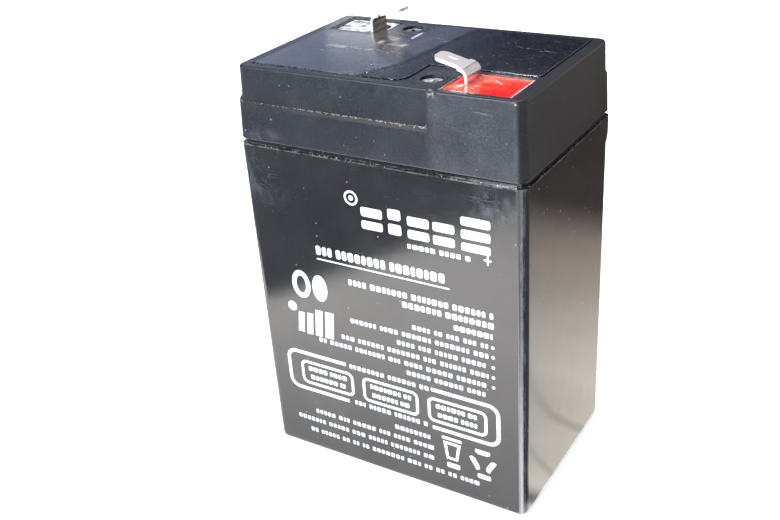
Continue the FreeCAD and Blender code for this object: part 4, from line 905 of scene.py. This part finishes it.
def sheen_material():
    """What the glossy faces see below the horizon: bright sheets in front and at the right,
    a dim floor at the far left and towards the photographer."""
    g = Graph("floor_sheen")
    lin = lambda v, a, b, p, q: g.ramp(v, a, b, p, q, smooth=False)
    curve = lambda v, pts: piecewise(g, v, pts)
    x, y = g.x, g.y
    # front sheet, its slanting left edge and its edge towards the photographer
    left = lin(y, -0.165, -0.078, -0.038, -0.083)
    left = g.add(left, g.mul(g.ramp(y, -0.080, -0.074), -0.06))
    right = g.math("MINIMUM", g.math("MULTIPLY_ADD", y, -0.45, 0.024), 0.038)
    inside = g.mul(g.ramp(g.math("SUBTRACT", x, left), -0.007, 0.006),
                   g.ramp(g.math("SUBTRACT", x, right), 0.006, -0.006), g.ramp(y, -0.012, -0.016))
    front = curve(y, ((-0.20, 2.2), (-0.18, 3.0), (-0.165, 3.8), (-0.15, 5.0), (-0.125, 5.6), (-0.095, 5.2), (-0.08, 4.8), (-0.063, 4.1),
                      (-0.048, 3.3), (-0.033, 2.6), (-0.02, 2.2)))
    mottle = g.add(0.86, g.mul(g.noise(38, 3, 0.55), 0.28))
    # right sheet
    outer = g.math("SUBTRACT", x, g.math("MULTIPLY_ADD", y, 0.4366, 0.0436))
    rzone = g.mul(g.ramp(x, 0.026, 0.030), g.ramp(y, -0.018, -0.011), g.ramp(outer, 0.015, 0.005))
    side = curve(y, ((-0.012, 2.6), (0.0, 2.3), (0.02, 2.2), (0.035, 2.35), (0.045, 2.2), (0.06, 1.95), (0.072, 1.7),
                     (0.084, 1.43), (0.097, 1.28), (0.11, 1.05), (0.126, 0.55), (0.14, 0.17), (0.2, 0.14)))
    warm = g.mix(lin(y, 0.04, 0.11, 0, 1), (1.0, 0.93, 0.83), (1.0, 0.86, 0.73))
    ripple = g.noise(1.0, 2, 0.5, g.mapped(scale=(28, 70, 1), turn=(0, 0, 24)))
    side = g.mul(side, g.add(0.88, g.mul(ripple, 0.24)))
    # two faint curved dark lines that show low on the right-hand face
    upper = curve(x, ((0.0376, 0.0131), (0.0414, 0.0141), (0.0447, 0.0153), (0.0496, 0.0194), (0.0543, 0.0243), (0.062, 0.034)))
    lower = curve(x, ((0.0355, -0.0065), (0.0395, -0.0039), (0.0432, -0.0010), (0.050, 0.0050)))
    near_line = lambda c, w: g.ramp(g.math("ABSOLUTE", g.math("SUBTRACT", y, c)), w, w * 0.15)
    lines = g.most(g.mul(near_line(upper, 0.0026), 0.24), g.mul(near_line(lower, 0.0020), 0.22))
    side = g.mul(side, g.math("SUBTRACT", 1.0, lines))
    # base level
    far_left = g.mul(g.ramp(y, -0.012, -0.016), g.ramp(g.math("SUBTRACT", x, right), 0.004, -0.004))
    near_me = g.mul(g.ramp(y, -0.010, -0.018), g.ramp(g.math("SUBTRACT", x, right), -0.004, 0.004))
    brownish = g.mul(g.ramp(x, -0.19, -0.13), g.ramp(g.noise(14, 2, 0.5), 0.30, 0.55))
    base = g.mix(far_left, (0.9, 0.9, 0.9), g.mix(brownish, (0.43, 0.47, 0.54), (0.36, 0.35, 0.375)))
    aside = g.mul(g.ramp(outer, 0.004, 0.012), g.ramp(y, 0.32, 0.26), g.ramp(y, -0.020, -0.012))
    base = g.mix(g.most(near_me, aside), base, (0.36, 0.35, 0.36))
    vm = g.tree.nodes.new("ShaderNodeVectorMath")
    vm.operation = "SCALE"
    g.put(vm.inputs[0], warm)
    g.put(vm.inputs["Scale"], side)
    # a narrow bright strip on the floor that shows in the upright corner
    mid = curve(y, ((-0.182, -0.012), (-0.123, 0.030), (-0.064, 0.042), (-0.035, 0.0430), (-0.024, 0.036)))
    reach = curve(y, ((-0.182, 0.020), (-0.123, 0.014), (-0.064, 0.0115), (-0.035, 0.0066), (-0.024, 0.004)))
    strip = g.math("DIVIDE", g.math("ABSOLUTE", g.math("SUBTRACT", x, mid)), reach)
    strip = g.mul(g.ramp(strip, 1.0, 0.2), g.ramp(y, -0.016, -0.022),
                  curve(y, ((-0.20, 0.4), (-0.182, 1.2), (-0.14, 1.2), (-0.10, 1.6), (-0.064, 2.3), (-0.035, 2.8))))
    vf = g.tree.nodes.new("ShaderNodeVectorMath")
    vf.operation = "SCALE"
    g.put(vf.inputs[0], g.mix(inside, (0.0, 0.0, 0.0), (1.0, 0.965, 0.925)))
    g.put(vf.inputs["Scale"], g.mul(front, mottle))
    lit = g.mix(rzone, base, vm.outputs[0])
    total = g.tree.nodes.new("ShaderNodeVectorMath")
    total.operation = "ADD"
    dim = g.tree.nodes.new("ShaderNodeVectorMath")
    dim.operation = "SCALE"
    g.put(dim.inputs[0], lit)
    g.put(dim.inputs["Scale"], g.math("SUBTRACT", 1.0, inside))
    g.put(total.inputs[0], dim.outputs[0])
    g.put(total.inputs[1], vf.outputs[0])
    vs = g.tree.nodes.new("ShaderNodeVectorMath")
    vs.operation = "SCALE"
    vs.inputs[0].default_value = (1.0, 0.985, 0.96)
    g.put(vs.inputs["Scale"], strip)
    both = g.tree.nodes.new("ShaderNodeVectorMath")
    both.operation = "ADD"
    g.put(both.inputs[0], total.outputs[0])
    g.put(both.inputs[1], vs.outputs[0])
    e = g.tree.nodes.new("ShaderNodeEmission")
    g.put(e.inputs["Color"], both.outputs[0])
    e.inputs["Strength"].default_value = 1.0
    g.tree.links.new(e.outputs[0], g.out.inputs[0])
    g.tree.nodes.remove(g.shader)
    return g.mat


def piecewise(g, v, pts):
    """Linear through the given points, flat outside them."""
    total = pts[0][1]
    for (a, p), (b, q) in zip(pts, pts[1:]):
        total = g.math("ADD", g.ramp(v, a, b, 0.0, q - p, smooth=False), total)
    return total


off_camera(stage_mesh("floor_sheen", [(-2000, -2000, 0.4), (2000, -2000, 0.4), (2000, 2000, 0.4), (-2000, 2000, 0.4)],
                      [[0, 1, 2, 3]], sheen_material()), diffuse=False)
# soft bounce for the matt share of the light
off_camera(stage_mesh("bounce_front", [(-120, -26, 0.3), (-38, -178, 0.3), (12, -178, 0.3), (16, -26, 0.3)],
                      [[0, 3, 2, 1]], glow("bounce_front", (1.0, 0.96, 0.92), 2.5)), glossy=False)
off_camera(stage_mesh("bounce_right", [(40, -6, 0.4), (100, -6, 0.4), (100, 118, 0.4), (40, 118, 0.4)],
                      [[0, 1, 2, 3]], glow("bounce_right", (1.0, 0.93, 0.85), 1.6)), glossy=False)
# cards behind the battery that only its glossy surfaces see: a low bright one for the resin at the back,
# a pale one with a slanting edge for the left part of the cover, two for the tabs
off_camera(stage_mesh("resin_card", [(-68, 60, 113.3), (-52, 60, 112.6), (-46, 60, 111.6), (-42.5, 60, 111.2), (-42.5, 60, 116),
                                     (-68, 60, 116)], [[0, 1, 2, 3, 4, 5]], glow("resin_card", (0.92, 0.96, 1.0), 4.6)), diffuse=False)
off_camera(stage_mesh("cover_card", [(-700, 402, 195), (-164, 402, 195), (-208, 402, 215), (-271, 402, 245),
                                     (-327, 402, 262), (-365, 402, 275), (-376, 402, 300), (-700, 402, 300)],
                      [[0, 1, 2, 3, 4, 5, 6, 7]], glow("cover_card", (0.61, 0.71, 1.0), 1.2)), diffuse=False)
off_camera(stage_mesh("tab_card", [(-400, 700, 440), (-20, 700, 440), (-20, 700, 640), (-400, 700, 640)],
                      [[0, 1, 2, 3]], glow("tab_card", (1.0, 0.97, 1.0), 1.0)), diffuse=False)
off_camera(stage_mesh("side_card", [(45, 150, 108), (84, 150, 108), (84, 150, 172), (45, 150, 172)],
                      [[0, 1, 2, 3]], glow("side_card", (1.0, 0.90, 0.70), 0.62)), diffuse=False)
off_camera(stage_mesh("bend_card", [(110, 900, 70), (720, 900, 70), (720, 900, 640), (110, 900, 740)],
                      [[0, 1, 2, 3]], glow("bend_card", (1.0, 0.97, 0.98), 0.72)), diffuse=False)
off_camera(stage_mesh("blade_card", [(-800, 900, 15), (-470, 900, 15), (-470, 900, 170), (-800, 900, 170)],
                      [[0, 1, 2, 3]], glow("blade_card", (0.97, 0.98, 1.0), 1.9)), diffuse=False)
off_camera(stage_mesh("floor_card", [(120, 366, 1.0), (360, 366, 1.0), (420, 700, 1.0), (120, 700, 1.0)],
                      [[0, 1, 2, 3]], glow("floor_card", (1.0, 0.76, 0.52), 0.34)), diffuse=False)

world = bpy.data.worlds.new("studio")
bpy.context.scene.world = world
world.use_nodes = True
wt = world.node_tree
wt.nodes.clear()
wo = wt.nodes.new("ShaderNodeOutputWorld")
bg = wt.nodes.new("ShaderNodeBackground")
tc = wt.nodes.new("ShaderNodeTexCoord")
sp = wt.nodes.new("ShaderNodeSeparateXYZ")
cr = wt.nodes.new("ShaderNodeValToRGB")
wt.links.new(tc.outputs["Generated"], sp.inputs[0])
wt.links.new(sp.outputs["Z"], cr.inputs[0])
stops = ((0.0, (0.16, 0.17, 0.20)), (0.14, (0.06, 0.072, 0.11)), (0.22, (0.035, 0.044, 0.078)),
         (0.40, (0.05, 0.06, 0.09)), (0.56, (0.46, 0.47, 0.50)), (1.0, (0.62, 0.64, 0.68)))
ramp = cr.color_ramp
while len(ramp.elements) < len(stops):
    ramp.elements.new(0.5)
for el, (pos, c) in zip(ramp.elements, stops):
    el.position = pos
for el, (pos, c) in zip(ramp.elements, stops):
    el.color = (*c, 1.0)
wt.links.new(cr.outputs[0], bg.inputs["Color"])
bg.inputs["Strength"].default_value = 1.0
wt.links.new(bg.outputs[0], wo.inputs[0])

# a pale dome for the camera alone
dome_v, dome_f = [], []
seg, rows = 48, 10
for j in range(rows + 1):
    e = math.radians(90.0 * j / rows)
    for i in range(seg):
        a = 2 * math.pi * i / seg
        dome_v.append((3900 * math.cos(e) * math.cos(a), 3900 * math.cos(e) * math.sin(a), 3900 * math.sin(e) - 5))
for j in range(rows):
    for i in range(seg):
        i2 = (i + 1) % seg
        dome_f.append([j * seg + i, (j + 1) * seg + i, (j + 1) * seg + i2, j * seg + i2])
dome = stage_mesh("pale_dome", dome_v, dome_f, glow("pale_dome", (0.97, 0.98, 1.0), 1.0))
dome.visible_diffuse = False
dome.visible_glossy = False
dome.visible_transmission = False
dome.visible_shadow = False


def softbox(name, place, aim, size, power, colour=(1, 1, 1)):
    data = bpy.data.lights.new(name, "AREA")
    data.shape = "RECTANGLE"
    data.size, data.size_y = size
    data.energy = power
    data.color = colour
    ob = bpy.data.objects.new(name, data)
    bpy.context.scene.collection.objects.link(ob)
    ob.location = Vector(place)
    ob.rotation_mode = "QUATERNION"
    ob.rotation_quaternion = (Vector(aim) - Vector(place)).to_track_quat("-Z", "Y")
    ob.visible_camera = False
    return ob


softbox("overhead", (-0.25, 0.25, 1.35), (0, 0.02, 0.08), (1.3, 1.3), 15.0)
softbox("key", (-0.28, -0.80, 0.56), (0, 0, 0.09), (0.14, 0.14), 22.0, (0.93, 0.96, 1.0))

cam_data = bpy.data.cameras.new("photo_camera")
cam_data.sensor_width = 36.0
cam_data.lens = 45.894
cam_data.clip_start, cam_data.clip_end = 0.01, 20.0
cam = bpy.data.objects.new("photo_camera", cam_data)
bpy.context.scene.collection.objects.link(cam)
right = Vector((0.85630319, 0.51254949, -0.06354414))
down = Vector((0.19166054, -0.42960462, -0.88244326))
forward = Vector((-0.4795947, 0.74346008, -0.46610732))
m = Matrix((right, -down, -forward)).transposed().to_4x4()
m.translation = Vector((0.1068123, -0.1843461, 0.1617218))
cam.matrix_world = m
bpy.context.scene.camera = cam

bpy.context.scene.view_settings.view_transform = "Standard"
bpy.context.scene.view_settings.look = "None"
bpy.context.scene.view_settings.exposure = 0.0
bpy.context.scene.view_settings.gamma = 1.0
